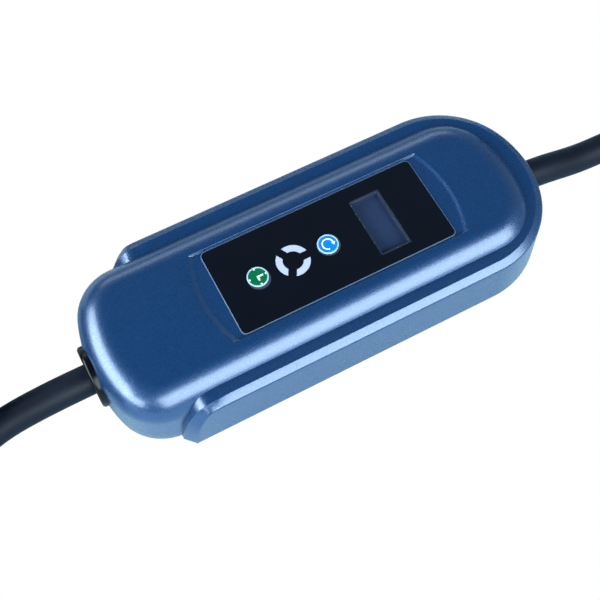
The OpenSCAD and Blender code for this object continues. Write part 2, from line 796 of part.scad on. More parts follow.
module vehicle_coil() {
    color("#3c3e42") translate([coil_at[0], coil_at[1], tie_t]) rotate_extrude()
        translate([coil_in, 0]) square([coil_w, coil_h]);
}

module coil_ties() {
    color("#22252a") for (a = tie_places) translate([coil_at[0], coil_at[1], 0])
        rotate(a - tie_angle / 2) rotate_extrude(angle = tie_angle) difference() {
            translate([coil_in - tie_t, 0]) square([coil_w + 2 * tie_t, coil_h + 2 * tie_t]);
            translate([coil_in, tie_t]) square([coil_w, coil_h]);
        }
}

// The handle's axis rises along the grip and is level in front of it
function handle_z(s) = tail_z + (nose_z - tail_z) * min(1, s / (handle_l - 12));

// A disc across the connector's length, at a distance from its tail
module handle_ring(s, radius, wide = 1) {
    translate([connector_tail_x + s, connector_y, handle_z(s)]) rotate([0, 90, 0])
        scale([1, wide, 1]) cylinder(h = 0.5, r = radius, $fn = 32);
}

module handle_form(shrink) {
    hull() {
        handle_ring(shrink * 2, handle_rear_r - shrink);
        handle_ring(22, handle_rear_r + 1 - shrink, 1.06);
    }
    hull() {
        handle_ring(22, handle_rear_r + 1 - shrink, 1.06);
        handle_ring(78, handle_front_r - 9 - shrink, 1.04);
    }
    hull() {
        handle_ring(78, handle_front_r - 9 - shrink, 1.04);
        handle_ring(handle_l - 12, handle_front_r - shrink);
        handle_ring(handle_l - 0.5, handle_front_r - shrink);
    }
}

// Half-width of the grip, and the places of the screws that hold its two halves
function grip_half(s) = let (a = 1.06 * (handle_rear_r + 1), b = 1.04 * (handle_front_r - 9))
    a + (b - a) * (s - 22) / 56;
screw_stations = [36, 66];
module at_handle_screws() {
    for ($station = screw_stations)
        translate([connector_tail_x + $station, connector_y, handle_z($station)])
            rotate([-90, 0, 0]) children();
}

// One half of the handle with the two posts that its screws pass through
module connector_half(side) {
    difference() {
        intersection() {
            union() {
                difference() {
                    handle_form(0);
                    handle_form(2.6);
                }
                at_handle_screws()
                    cylinder(h = 2 * grip_half($station) - 3, r = 3.4, center = true);
            }
            translate([connector_tail_x - 5, connector_y + (side > 0 ? 0.05 : -far), 0])
                cube([far, far - 0.05, far]);
        }
        translate([connector_tail_x - 1, connector_y, tail_z]) rotate([0, 90, 0])
            cylinder(h = 20, r = boot_neck_r + fit);
        at_handle_screws() {
            translate([0, 0, -far]) cylinder(h = far + 12, d = screw_d - 0.5);
            translate([0, 0, -far])
                cylinder(h = far - grip_half($station) + 4.5, d = screw_head_d + 0.6);
        }
    }
}

module connector_shell_left() { color("#1a1c20") connector_half(1); }
module connector_shell_right() { color("#1a1c20") connector_half(-1); }

// Bend relief behind the handle: a ribbed sleeve round the cable
boot_neck_r = cable_r + 2.4;
boot_l = 26;
module connector_boot() {
    color("#26282c") translate([connector_tail_x - boot_l, connector_y, tail_z])
        rotate([0, 90, 0]) rotate_extrude() difference() {
            union() {
                square([cable_r + 1.6, boot_l + 8]);
                for (k = [0:3]) translate([0, 3 + 6 * k]) square([cable_r + 2.4 + 0.6 * k, 4]);
            }
            translate([-far, -1]) square([far + cable_bore_r, far]);
        }
}

module connector_nose() {
    color("#1f2227") translate([nose_x, connector_y, nose_z]) difference() {
        intersection() {
            union() {
                bore_x(0, nose_base + nose_depth, nose_r, 0);
                bore_x(-6, nose_base, handle_front_r - 3.2, 0);
            }
            translate([-far, -far, -far]) cube([2 * far, 2 * far, far + nose_flat]);
        }
        difference() {
            bore_x(nose_base, far, nose_r - nose_wall, 0);
            intersection() {
                bore_x(nose_base, nose_base + nose_depth - 2, block_r, 0);
                translate([-far, -far, -far])
                    cube([2 * far, 2 * far, far + nose_flat - nose_wall - mouth_gap]);
            }
            translate([0, -far, nose_flat - nose_wall]) cube([far, 2 * far, far]);
        }
        at_contacts(power_places) bore_x(-far, far, contact_bore_d / 2 + contact_wall, 0);
        at_contacts(pilot_places) bore_x(-far, far, pilot_bore_d / 2 + contact_wall, 0);
    }
}

nose_base = 12;
mouth_gap = 5;
module at_contacts(places) {
    for (p = places) translate([0, p[0], p[1]]) children();
}

// Socket contacts: open in front, solid behind
module socket(bore_d) {
    mouth = nose_base + nose_depth - 4;
    difference() {
        bore_x(-8, mouth, bore_d / 2 + contact_wall, 0);
        bore_x(mouth - contact_l, far, bore_d / 2, 0);
    }
}

module connector_contacts() {
    color("#c9b27a") translate([nose_x, connector_y, nose_z]) {
        at_contacts(power_places) socket(contact_bore_d);
        at_contacts(pilot_places) socket(pilot_bore_d);
    }
}

// Screws through the right shell into the left one
module connector_screws() {
    color("#9fa3a9") at_handle_screws() translate([0, 0, 2.5 - grip_half($station)])
        screw(screw_d - 0.5, grip_half($station) + 6, screw_head_d, 2);
}

module plug_turned(y) {
    translate([plug_x, y, plug_z]) rotate([-90, 0, 0]) rotate_extrude() children();
}

nut_r = 17;
module plug_gland_nut() {
    color("#16181c") difference() {
        plug_turned(plug_tail_y) difference() {
            union() {
                translate([0, 4]) square([nut_r, nut_l - 4]);
                polygon([[0, 0], [nut_r - 5, 0], [nut_r, 4], [0, 4]]);
            }
            translate([-far, -1]) square([far + cable_bore_r, far]);
        }
        for (a = [0:30:330]) translate([plug_x, plug_tail_y + 3, plug_z]) rotate([0, a, 0])
            translate([nut_r + 1, 0, 0]) rotate([-90, 0, 0]) cylinder(h = nut_l - 6, r = 2.2);
    }
}

// Handle of the plug: waisted grip behind, thick flange in front, hollow inside
grip_r = 21;
grip_l = 18;
flare_r = 25;
flare_y = 32;
flange_l = 8;
module plug_body_profile(inset, from, to) {
    polygon([[0, from], [grip_r - 2 - inset, from], [grip_r - inset, 6], [grip_r - inset, grip_l],
        [flare_r - inset, flare_y], [shroud_r - 3 - inset, plug_body_l - flange_l],
        [shroud_r - 3 - inset, to], [0, to]]);
}

module plug_body() {
    color("#2b2e33") union() {
        plug_turned(plug_body_y) difference() {
            union() {
                plug_body_profile(0, 0, plug_body_l);
                translate([0, plug_body_l - 6]) square([shroud_r + 0.8, 6]);
            }
            plug_body_profile(2.6, 3, plug_body_l + 1);
            translate([-1, -1]) square([cable_bore_r + 1, 9]);
        }
    }
}

insert_l = 12;
module plug_shroud() {
    color("#1673c6") union() {
        plug_turned(shroud_y) difference() {
            union() {
                square([shroud_r, insert_l + shroud_depth - 4]);
                translate([0, insert_l + shroud_depth - 8]) square([shroud_r + 0.8, 4]);
                square([shroud_r + 0.8, 4]);
            }
            translate([-far, -1]) square([far + shroud_r - shroud_wall, far]);
        }
        translate([plug_x - 4, shroud_y, plug_z + shroud_r - shroud_wall / 2])
            cube([8, insert_l + shroud_depth - 4, shroud_wall / 2 + 2.5]);
    }
}

pin_places = [[0, pin_circle_r, earth_pin_d],
    [-pin_circle_r * cos(30), -pin_circle_r * sin(30), pin_d],
    [pin_circle_r * cos(30), -pin_circle_r * sin(30), pin_d]];

pin_step = 2;
module pin_row(y, l, grow) {
    for (p = pin_places) translate([plug_x + p[0], y, plug_z + p[1]]) rotate([-90, 0, 0])
        cylinder(h = l, d = p[2] + grow);
}

module plug_insert() {
    color("#1b1d21") difference() {
        plug_turned(shroud_y) square([shroud_r - shroud_wall, insert_l - 4]);
        pin_row(shroud_y - 1, insert_l, -pin_step);
    }
}

module plug_pins() {
    color("#c8ccd0") {
        pin_row(shroud_y - 6, insert_l + 3, -pin_step);
        pin_row(shroud_y + insert_l - 4, pin_l, 0);
    }
}

upper_housing();
lower_housing();
housing_seal();
front_panel();
display_window();
lcd_display();
timer_button();
reset_button();
status_light_guide();
status_leds();
tactile_switches();
display_board();
display_board_screws();
main_board();
board_screws();
power_relays();
supply_transformer();
supply_capacitors();
mains_fuse();
mains_terminals();
vehicle_terminals();
mains_cores();
vehicle_cores();
leakage_sensor();
cord_clamps();
clamp_screws();
housing_screws();
vehicle_grommet();
mains_grommet();
vehicle_cord();
vehicle_coil();
coil_ties();
connector_cord();
connector_boot();
connector_shell_left();
connector_shell_right();
connector_nose();
connector_contacts();
connector_screws();
mains_cord();
plug_gland_nut();
plug_body();
plug_shroud();
plug_insert();
plug_pins();
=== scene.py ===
# %% [markdown]
# # Electric vehicle charging cable with its control box
#
# A portable charging cable has three parts in a row: a short mains lead with an industrial plug,
# a control box that watches the current, and a long cable with the connector for the vehicle. The
# camera looks down at the control box. The rest of the cable is put away beside the box, where the
# camera doesn't see it: the long side as a neat coil with the connector lying on it, and the plug
# at the other side.
#
# Each cell builds one thing from numbers, in millimetres, and the helper `piece` turns them into
# metres. The surfaces are grids of points: a formula places row i and column j, and neighbours are
# joined to four-sided faces. Nothing here is a picture: every colour comes from a procedural
# material that reads the position on the object itself.

import math

import bmesh
import bpy
import numpy as np
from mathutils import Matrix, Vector
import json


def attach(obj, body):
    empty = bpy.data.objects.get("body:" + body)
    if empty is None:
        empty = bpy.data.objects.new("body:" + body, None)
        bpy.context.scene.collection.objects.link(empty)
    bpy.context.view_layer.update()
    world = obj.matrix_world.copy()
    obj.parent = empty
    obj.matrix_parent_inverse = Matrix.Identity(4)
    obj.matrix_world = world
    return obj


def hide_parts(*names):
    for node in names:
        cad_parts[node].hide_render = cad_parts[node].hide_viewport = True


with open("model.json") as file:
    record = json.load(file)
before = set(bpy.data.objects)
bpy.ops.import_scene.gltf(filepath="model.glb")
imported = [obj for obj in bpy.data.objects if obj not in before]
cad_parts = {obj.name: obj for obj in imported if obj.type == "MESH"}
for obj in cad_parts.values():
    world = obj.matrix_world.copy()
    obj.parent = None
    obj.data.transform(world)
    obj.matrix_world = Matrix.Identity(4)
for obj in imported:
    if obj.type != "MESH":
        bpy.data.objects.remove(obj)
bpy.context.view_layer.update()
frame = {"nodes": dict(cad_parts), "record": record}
MM = 0.001

# %% [markdown]
# ## Camera
#
# The place of the camera was fitted to corners that the photograph shows: the panel's corners, the
# ends of the recess, both cable exits and the foot of the shell. It stands about half a metre
# away, high above the near side, and its lens is a slightly long one (62 mm on a 36 mm sensor).

# %% Camera
AZIMUTH, ELEVATION = math.radians(27.843), math.radians(64.300)
DISTANCE_MM, FOCAL_PX, PICTURE_PX, SENSOR_MM = 519.75, 1025.02, 600, 36.0
look_at = Vector((-17.26, -14.03, 30.0)) * MM
toward = -Vector((-math.sin(AZIMUTH) * math.cos(ELEVATION),
                  -math.cos(AZIMUTH) * math.cos(ELEVATION), math.sin(ELEVATION)))
camera = bpy.data.objects.new("camera", bpy.data.cameras.new("camera"))
bpy.context.scene.collection.objects.link(camera)
camera.location = look_at - toward * DISTANCE_MM * MM
camera.rotation_mode = "QUATERNION"
camera.rotation_quaternion = toward.to_track_quat("-Z", "Y")
camera.data.sensor_width = SENSOR_MM
camera.data.lens = FOCAL_PX / PICTURE_PX * SENSOR_MM
camera.data.clip_start, camera.data.clip_end = 0.02, 20.0
bpy.context.scene.camera = camera
print("camera at", [round(v, 4) for v in camera.location])

# %% [markdown]
# ## Light
#
# The photograph was taken in a white tent: the background is pure white, and the shell shows long
# soft highlights. The sky here is a gradient that is bright low down, like the tent's walls, and
# darker overhead, so that the flat top stays deep blue while the round edges catch the light. The
# widest of four soft lamps stands at the near side and gives the bright line along the near edge.
# Two stand at the left, and a weak one at the far side. The camera sees sky and floor as pure
# white, while what lights the object is dimmer and bluish.
#
# Three helpers keep the shaders short: `shade` adds a node with values at its sockets, `ramp` adds
# a colour ramp, and `two_faced` joins what lights the object with what the camera sees.

# %% Light and floor
def shade(tree, kind, **values):
    """New shader node; each value belongs to the socket of that name, with _ for a space."""
    made = tree.nodes.new("ShaderNode" + kind)
    for socket, value in values.items():
        made.inputs[socket.replace("_", " ")].default_value = value
    return made


def ramp(tree, *stops):
    """Colour ramp through (position, colour) stops."""
    made = tree.nodes.new("ShaderNodeValToRGB")
    marks = made.color_ramp.elements
    for k, (position, color) in enumerate((stops[0], stops[-1])):
        marks[k].position = position
        marks[k].color = (*color, 1)
    for position, color in stops[1:-1]:
        marks.new(position).color = (*color, 1)
    return made


def two_faced(tree, output, lit, seen):
    """Joins two shaders: what lights the object, and what the camera sees directly."""
    mix = shade(tree, "MixShader")
    tree.links.new(shade(tree, "LightPath").outputs["Is Camera Ray"], mix.inputs[0])
    tree.links.new(lit.outputs[0], mix.inputs[1])
    tree.links.new(seen.outputs[0], mix.inputs[2])
    tree.links.new(mix.outputs[0], shade(tree, output).inputs["Surface"])


scene = bpy.context.scene
scene.view_settings.view_transform = "Standard"
scene.view_settings.look = "None"
world = bpy.data.worlds.new("tent")
scene.world = world
world.use_nodes = True
tent = world.node_tree
tent.nodes.clear()
sky = shade(tent, "Background", Strength=0.66)
height = shade(tent, "SeparateXYZ")
glow = ramp(tent, (0.0, (0.40, 0.52, 0.62)), (0.55, (0.25, 0.32, 0.38)),
            (1.0, (0.04, 0.055, 0.075)))
tent.links.new(shade(tent, "TexCoord").outputs["Generated"], height.inputs[0])
tent.links.new(height.outputs["Z"], glow.inputs[0])
tent.links.new(glow.outputs[0], sky.inputs["Color"])
two_faced(tent, "OutputWorld", sky, shade(tent, "Background", Color=(1, 1, 1, 1)))


def lamp(name, at, size, watts):
    """Rectangular soft lamp at a point in metres, turned to face the top of the box."""
    data = bpy.data.lights.new(name, "AREA")
    data.shape = "RECTANGLE"
    data.size, data.size_y = size
    data.energy = watts
    data.color = (0.82, 0.97, 1.0)
    obj = bpy.data.objects.new(name, data)
    scene.collection.objects.link(obj)
    obj.location = at
    obj.rotation_mode = "QUATERNION"
    obj.rotation_quaternion = (Vector((0.0, 0.0, 0.03)) - Vector(at)).to_track_quat("-Z", "Y")


lamp("near_box", (0.25, -0.95, 0.82), (1.7, 0.95), 38.0)
lamp("left_box", (-1.15, 0.45, 0.62), (1.1, 0.8), 26.0)
lamp("left_near_box", (-1.1, -0.32, 0.5), (0.7, 0.45), 9.0)
lamp("far_box", (0.3, 1.3, 0.7), (1.4, 0.4), 3.0)

floor_mesh = bpy.data.meshes.new("floor")
floor_mesh.from_pydata([(-4, -4, 0), (4, -4, 0), (4, 4, 0), (-4, 4, 0)], [], [(0, 1, 2, 3)])
floor = bpy.data.objects.new("floor", floor_mesh)
scene.collection.objects.link(floor)
floor_mat = bpy.data.materials.new("white_sweep")
floor_mat.use_nodes = True
floor_mat.node_tree.nodes.clear()
two_faced(floor_mat.node_tree, "OutputMaterial",
          shade(floor_mat.node_tree, "BsdfDiffuse", Color=(0.38, 0.51, 0.62, 1)),
          shade(floor_mat.node_tree, "Emission", Color=(1, 1, 1, 1)))
floor_mesh.materials.append(floor_mat)
print("sky, four soft lamps and a white floor are set")

# %% [markdown]
# ## Materials
#
# One recipe serves most parts. One noise moves the colour a little between two tones. A finer
# one moves the roughness, and the same fine noise is the bump of the moulded grain. The noise is
# three-dimensional and reads the object's own position, so it never stretches. The pane's material
# is its own: it lets light through and mirrors more at a slant, on its outer side only.

# %% Material recipe
def material(name, color, second=None, rough=0.45, rough_swing=0.06, metal=0.0, coat=0.0,
             coat_rough=0.1, grain=1400.0, bump=0.0, patch=60.0, ior=1.5, coat_ior=1.5):
    """Principled material. Noise at patch scale from 0.35 to 0.65 leads from the second tone to
    the colour. Noise at grain scale from 0.3 to 0.7 leads from rough - rough_swing to rough +
    rough_swing, and as a bump it is as high as the given number of metres."""
    second = second or tuple(0.85 * c for c in color)
    mat = bpy.data.materials.new(name)
    mat.use_nodes = True
    t = mat.node_tree
    bsdf = t.nodes["Principled BSDF"]
    coord = shade(t, "TexCoord")
    tone = shade(t, "TexNoise", Scale=patch, Detail=3.0)
    tones = ramp(t, (0.35, second), (0.65, color))
    t.links.new(coord.outputs["Object"], tone.inputs["Vector"])
    t.links.new(tone.outputs[0], tones.inputs[0])
    t.links.new(tones.outputs[0], bsdf.inputs["Base Color"])
    fine = shade(t, "TexNoise", Scale=grain, Detail=2.0)
    t.links.new(coord.outputs["Object"], fine.inputs["Vector"])
    swing = shade(t, "MapRange", From_Min=0.3, From_Max=0.7, To_Min=max(0.02, rough - rough_swing),
                  To_Max=min(1.0, rough + rough_swing))
    t.links.new(fine.outputs[0], swing.inputs["Value"])
    t.links.new(swing.outputs[0], bsdf.inputs["Roughness"])
    for socket, value in {"Metallic": metal, "IOR": ior, "Coat Weight": coat,
                          "Coat Roughness": coat_rough, "Coat IOR": coat_ior}.items():
        bsdf.inputs[socket].default_value = value
    if bump > 0:
        relief = shade(t, "Bump", Strength=1.0, Distance=bump)
        t.links.new(fine.outputs[0], relief.inputs["Height"])
        t.links.new(relief.outputs[0], bsdf.inputs["Normal"])
    mat.diffuse_color = (*color, 1)
    return mat


def linear(r, g, b):
    """Display values from 0 to 255, turned into the linear numbers that shaders use."""
    c = np.array([r, g, b]) / 255
    return tuple(float(v) for v in np.where(c <= 0.04045, c / 12.92, ((c + 0.055) / 1.055) ** 2.4))


M = {
    "blue_metallic": material("blue_metallic", linear(2, 63, 114), linear(1, 47, 94), rough=0.33,
                              rough_swing=0.09, metal=0.45, ior=1.7, coat=0.8, coat_rough=0.23,
                              coat_ior=1.65, grain=1500.0, bump=0.00012, patch=2000.0),
    "dark_housing": material("dark_housing", linear(34, 42, 56), rough=0.5, bump=0.00003),
    "seal_rubber": material("seal_rubber", linear(52, 54, 60), rough=0.7),
    "panel_gloss": material("panel_gloss", linear(7, 11, 20), linear(6, 10, 18), rough=0.09,
                            rough_swing=0.01),
    "lcd_glass": material("lcd_glass", linear(58, 72, 100), linear(54, 68, 95), rough=0.32),
    "button_green": material("button_green", linear(0, 90, 54), linear(0, 87, 51), rough=0.4,
                             ior=1.25),
    "button_blue": material("button_blue", linear(4, 112, 188), linear(3, 108, 184), rough=0.4,
                            ior=1.25),
    "light_guide": material("light_guide", linear(168, 173, 198), linear(165, 170, 195), rough=0.4),
    "circuit_board": material("circuit_board", (0.02, 0.13, 0.055), rough=0.4),
    "screw_steel": material("screw_steel", (0.55, 0.56, 0.58), rough=0.3, metal=1.0),
    "relay_black": material("relay_black", (0.02, 0.021, 0.024), rough=0.45),
    "winding": material("winding", (0.42, 0.32, 0.09), rough=0.4),
    "capacitor": material("capacitor", (0.03, 0.05, 0.13), rough=0.35),
    "ceramic": material("ceramic", (0.62, 0.58, 0.5), rough=0.5),
    "terminal_block": material("terminal_block", (0.1, 0.2, 0.09), rough=0.5),
    "core_brown": material("core_brown", (0.16, 0.06, 0.03), rough=0.45),
    "core_blue": material("core_blue", (0.03, 0.12, 0.42), rough=0.45),
    "cable_rubber": material("cable_rubber", linear(13, 20, 34), linear(10, 16, 29), rough=0.5,
                             rough_swing=0.08, ior=1.28, grain=900.0, bump=0.00004),
    "tie_fabric": material("tie_fabric", linear(34, 37, 42), rough=0.85, grain=1800.0, bump=0.0002),
    "connector_plastic": material("connector_plastic", linear(30, 32, 37), rough=0.48,
                                  grain=2200.0, bump=0.00005),
    "contact_brass": material("contact_brass", (0.62, 0.46, 0.2), rough=0.25, metal=1.0),
    "plug_blue": material("plug_blue", (0.012, 0.16, 0.55), rough=0.42, bump=0.00003),
    "plug_black": material("plug_black", linear(36, 38, 43), rough=0.5, bump=0.00004),
    "pin_nickel": material("pin_nickel", (0.7, 0.69, 0.66), rough=0.2, metal=1.0),
    "grommet_gloss": material("grommet_gloss", linear(6, 8, 13), rough=0.24, rough_swing=0.02,
                              ior=1.33),
    # Painted highlight: the lighter tone of the panel's edge strip.
    "painted_edge_highlight": material("painted_edge_highlight", linear(84, 106, 138), rough=0.35),
    "rim_pale": material("rim_pale", linear(160, 186, 204), rough=0.35),
    # Painted reflection: the grey of the crescents beside the button caps.
    "painted_reflection_grey": material("painted_reflection_grey", linear(50, 56, 74), rough=0.4),
    "liner_grey": material("liner_grey", linear(56, 66, 86), rough=0.45),
    "print_white": material("print_white", linear(240, 246, 244), rough=0.4),
    "dark_gap": material("dark_gap", linear(14, 16, 20), rough=0.7),
}

pane = bpy.data.materials.new("clear_window")
pane.use_nodes = True
t = pane.node_tree
t.nodes.clear()
mix = shade(t, "MixShader")
front = shade(t, "Math")
front.operation = "SUBTRACT"
front.use_clamp = True
t.links.new(shade(t, "Fresnel", IOR=1.45).outputs[0], front.inputs[0])
t.links.new(shade(t, "NewGeometry").outputs["Backfacing"], front.inputs[1])
t.links.new(front.outputs[0], mix.inputs[0])
t.links.new(shade(t, "BsdfTransparent", Color=(0.80, 0.83, 0.88, 1)).outputs[0], mix.inputs[1])
t.links.new(shade(t, "BsdfGlossy", Roughness=0.06).outputs[0], mix.inputs[2])
t.links.new(mix.outputs[0], shade(t, "OutputMaterial").inputs["Surface"])
M["clear_window"] = pane
print("materials:", len(M))

# %% [markdown]
# ## Helpers for surfaces
#
# `piece` makes an object from points in millimetres and faces, joins doubled points, and marks the
# edges as sharp where two faces meet at more than a given angle. `grid_faces` joins a grid of rows
# and columns. `lathe` turns a profile round an axis, and `prisms` raises flat outlines.

# %% Surface helpers
def piece(name, points, faces, mat, body="root", sharp=32.0, slot=None):
    """New object from points (mm) and faces; welded, smooth, with sharp edges above an angle."""
    mesh = bpy.data.meshes.new(name)
    mesh.from_pydata((np.asarray(points, float).reshape(-1, 3) * MM).tolist(), [], faces)
    bm = bmesh.new()
    bm.from_mesh(mesh)
    bmesh.ops.remove_doubles(bm, verts=bm.verts, dist=2e-7)
    bmesh.ops.dissolve_degenerate(bm, edges=bm.edges, dist=1e-7)
    bmesh.ops.recalc_face_normals(bm, faces=bm.faces)
    bm.to_mesh(mesh)
    bm.free()
    mesh.shade_smooth()
    mesh.set_sharp_from_angle(angle=math.radians(sharp))
    mesh.materials.append(M[mat])
    obj = bpy.data.objects.new(name, mesh)
    scene.collection.objects.link(obj)
    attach(obj, body)
    return obj


def grid_faces(rows, cols, close_rows=False, close_cols=False, start=0):
    """Four-sided faces of a grid whose point (i, j) has the number start + i * cols + j."""
    i, j = np.meshgrid(np.arange(rows if close_rows else rows - 1),
                       np.arange(cols if close_cols else cols - 1), indexing="ij")
    a, b = i * cols + j, i * cols + (j + 1) % cols
    c, d = ((i + 1) % rows) * cols + (j + 1) % cols, ((i + 1) % rows) * cols + j
    return (np.stack([a, b, c, d], -1).reshape(-1, 4) + start).tolist()


def rounded(corners, radii, steps=6):
    """Polyline through the corners, each inner corner replaced by an arc of its radius."""
    p = np.asarray(corners, float)
    out = [p[0]]
    for k in range(1, len(p) - 1):
        a, b = p[k - 1] - p[k], p[k + 1] - p[k]
        la, lb = np.linalg.norm(a), np.linalg.norm(b)
        a, b = a / la, b / lb
        half = math.acos(float(np.clip(np.dot(a, b), -1, 1))) / 2
        r = radii[k - 1]
        if r <= 0 or half > 1.56:
            out.append(p[k])
            continue
        cut = min(r / math.tan(half), 0.48 * la, 0.48 * lb)
        r = cut * math.tan(half)
        mid = a + b
        centre = p[k] + mid / np.linalg.norm(mid) * (r / math.sin(half))
        v0, v1 = p[k] + a * cut - centre, p[k] + b * cut - centre
        w = math.acos(float(np.clip(np.dot(v0, v1) / (r * r), -1, 1)))
        for t in np.linspace(0, 1, steps + 1):
            out.append(centre + (math.sin((1 - t) * w) * v0 + math.sin(t * w) * v1) / math.sin(w))
    out.append(p[-1])
    return np.array(out)


def axes_for(direction):
    """Two directions square to the given one."""
    d = np.asarray(direction, float) / np.linalg.norm(direction)
    side = np.cross([0, 0, 1], d) if abs(d[2]) < 0.9 else np.array([1.0, 0, 0])
    side = side / np.linalg.norm(side)
    return d, side, np.cross(d, side)


def lathe(name, profile, origin, direction, mat, n=96, closed=False, **more):
    """Turned part: the profile gives (radius, distance along the axis)."""
    d, side, up = axes_for(direction)
    prof = np.asarray(profile, float)
    a = np.linspace(0, 2 * math.pi, n, endpoint=False)
    ring = np.cos(a)[:, None] * side + np.sin(a)[:, None] * up
    pts = (np.asarray(origin, float) + prof[:, 1][:, None, None] * d
           + prof[:, 0][:, None, None] * ring[None])
    return piece(name, pts, grid_faces(len(prof), n, closed, True), mat, **more)


def level(outline, z):
    """The points of a flat outline at the height z."""
    return np.c_[outline, np.full(len(outline), z)]


def prism_data(outline, z0, z1, start=0):
    """Points and faces of a flat outline raised from z0 to z1."""
    n = len(outline)
    pts = np.vstack([level(outline, z0), level(outline, z1)])
    faces = grid_faces(2, n, False, True, start)
    faces.append([start + n + k for k in range(n)])
    faces.append([start + k for k in reversed(range(n))])
    return pts, faces


def prisms(name, outlines, z0, z1, mat, **more):
    """Several raised outlines as one object."""
    pts, faces, n = [], [], 0
    for o in outlines:
        p, f = prism_data(o, z0, z1, n)
        pts.append(p)
        faces += f
        n += len(p)
    return piece(name, np.vstack(pts), faces, mat, **more)


def arc(cx, cy, r, a0, a1, n):
    """Points on an arc, angles in degrees."""
    a = np.radians(np.linspace(a0, a1, n))
    return np.stack([cx + r * np.cos(a), cy + r * np.sin(a)], -1)


def sector(cx, cy, r0, r1, a0, a1, n=24):
    """Outline of a piece of a ring between two radii and two angles."""
    return np.vstack([arc(cx, cy, r1, a0, a1, n), arc(cx, cy, r0, a1, a0, n)])


def ease(t):
    """0 below 0, 1 above 1, and the smooth step 3t^2 - 2t^3 between."""
    t = np.clip(t, 0, 1)
    return t * t * (3 - 2 * t)


print("helpers are ready")

# %% [markdown]
# ## The long cable
#
# It leaves the box at the vehicle end, runs straight for a few diameters, sinks to the floor, and
# joins the coil in a wide S: one arc of 80 mm away from the coil, then the coil's own circle. The
# coil is wound clockwise. Its first layer spirals in from a radius of 106 mm to 74 mm in two
# turns, so that neighbours lie one diameter apart. The cable then climbs by one diameter within a
# quarter turn, spirals out again, climbs once more, and makes one last turn on top. From there it
# rises slowly on an arc of 70 mm to the tail of the connector, which lies on the coil. No bend is
# tighter than 4 diameters.

# %% Path of the long cable
CABLE_D, END_X = 16.0, 126.5
COIL = np.array([-284.0, 66.0])
OUTER, INNER, FIRST_Z = 106.0, 74.0, 9.5
LAST_TURN = 1905.0
SECOND_CLIMB = 1545.0
TAIL_X, CONNECTOR_Y, TAIL_Z = -292.0, 140.0, 65.5
EXIT_Z, LEAD_R = 21.0, 80.0
RISE_X, RISE_R, RISE_LENGTH = -320.0, 69.75, 225.0


def winding(a):
    """Place after a degrees of turning: polar angle -82 - a; the radius falls from 106 to 74 in
    720 degrees, waits during the climb and grows back; each climb is one eased diameter, and bows
    by about 1 mm, inward at the first one and outward at the second."""
    r = np.interp(a, [0, 720, 810, 1530], [OUTER, INNER, INNER, OUTER])
    r = r - 1.0 * np.sin(np.pi * np.clip((a - 720) / 90, 0, 1)) ** 2
    r = r + 1.2 * np.sin(np.pi * np.clip((a - SECOND_CLIMB) / 90, 0, 1)) ** 2
    z = FIRST_Z + CABLE_D * (ease((a - 720) / 90) + ease((a - SECOND_CLIMB) / 90))
    polar = np.radians(-82 - a)
    return np.stack([COIL[0] + r * np.cos(polar), COIL[1] + r * np.sin(polar), z], -1)


def along(points):
    """Distance along a path at each of its points."""
    return np.r_[0, np.cumsum(np.linalg.norm(np.diff(points, axis=0), axis=1))]


def even(points, step):
    """The same path with evenly spaced points, its small corners eased."""
    d = along(points)
    s = np.linspace(0, d[-1], int(round(d[-1] / step)) + 1)
    p = np.stack([np.interp(s, d, points[:, k]) for k in range(3)], -1)
    for _ in range(6):
        p[1:-1] = 0.25 * p[:-2] + 0.5 * p[1:-1] + 0.25 * p[2:]
    return p


reach = math.sqrt((OUTER + LEAD_R) ** 2 - (COIL[1] + LEAD_R) ** 2)
meet = math.atan2(-LEAD_R - COIL[1], reach)
turn_x = COIL[0] + reach
straight = np.stack([np.linspace(-END_X, turn_x, 30), np.zeros(30)], -1)
bend = arc(turn_x, -LEAD_R, LEAD_R, 90, 180 + math.degrees(meet), 50)
join = arc(*COIL, OUTER, math.degrees(meet), -82, 30)
flat = np.vstack([straight, bend[1:], join[1:]])
lead = np.c_[flat, np.zeros(len(flat))]
lead[:, 2] = EXIT_Z - (EXIT_Z - FIRST_Z) * ease((along(lead) - 14) / 90)
turns = winding(np.linspace(0, LAST_TURN, 1400))
rise_at = np.array([RISE_X, CONNECTOR_Y - RISE_R])
first = math.degrees(math.atan2(rise_at[1] - COIL[1], rise_at[0] - COIL[0]))
rise = level(arc(*rise_at, RISE_R, first, 90, 80), turns[-1, 2])
tail = np.linspace((RISE_X, CONNECTOR_Y, TAIL_Z), (TAIL_X, CONNECTOR_Y, TAIL_Z), 14)
long_path = np.vstack([lead, turns[1:], rise[1:], tail[1:]])
d = along(long_path)
top = d[-len(tail)]
climb = ease((d - (top - RISE_LENGTH)) / RISE_LENGTH) * (TAIL_Z - turns[-1, 2])
climb[1 - len(tail):] = 0
long_path[:, 2] += climb
long_path = even(long_path, 4.0)

# %% [markdown]
# ## The mains lead
#
# It leaves the other end a little lower, sinks to the floor, passes a shallow bow, and rises to
# the plug's gland, which holds it 31 mm above the floor because the plug's shroud is that wide.

# %% Path of the mains lead
def through(points, steps=12):
    """Smooth curve through the points: a cubic between each pair, which also heeds the next
    points on both sides."""
    p = np.asarray(points, float)
    q = np.vstack([2 * p[0] - p[1], p, 2 * p[-1] - p[-2]])
    out = []
    for k in range(1, len(q) - 2):
        t = np.linspace(0, 1, steps, endpoint=False)[:, None]
        a, b, c, e = q[k - 1], q[k], q[k + 1], q[k + 2]
        out.append(0.5 * (2 * b + (c - a) * t + (2 * a - 5 * b + 4 * c - e) * t ** 2
                          + (3 * b - a - 3 * c + e) * t ** 3))
    return np.vstack([*out, p[-1:]])


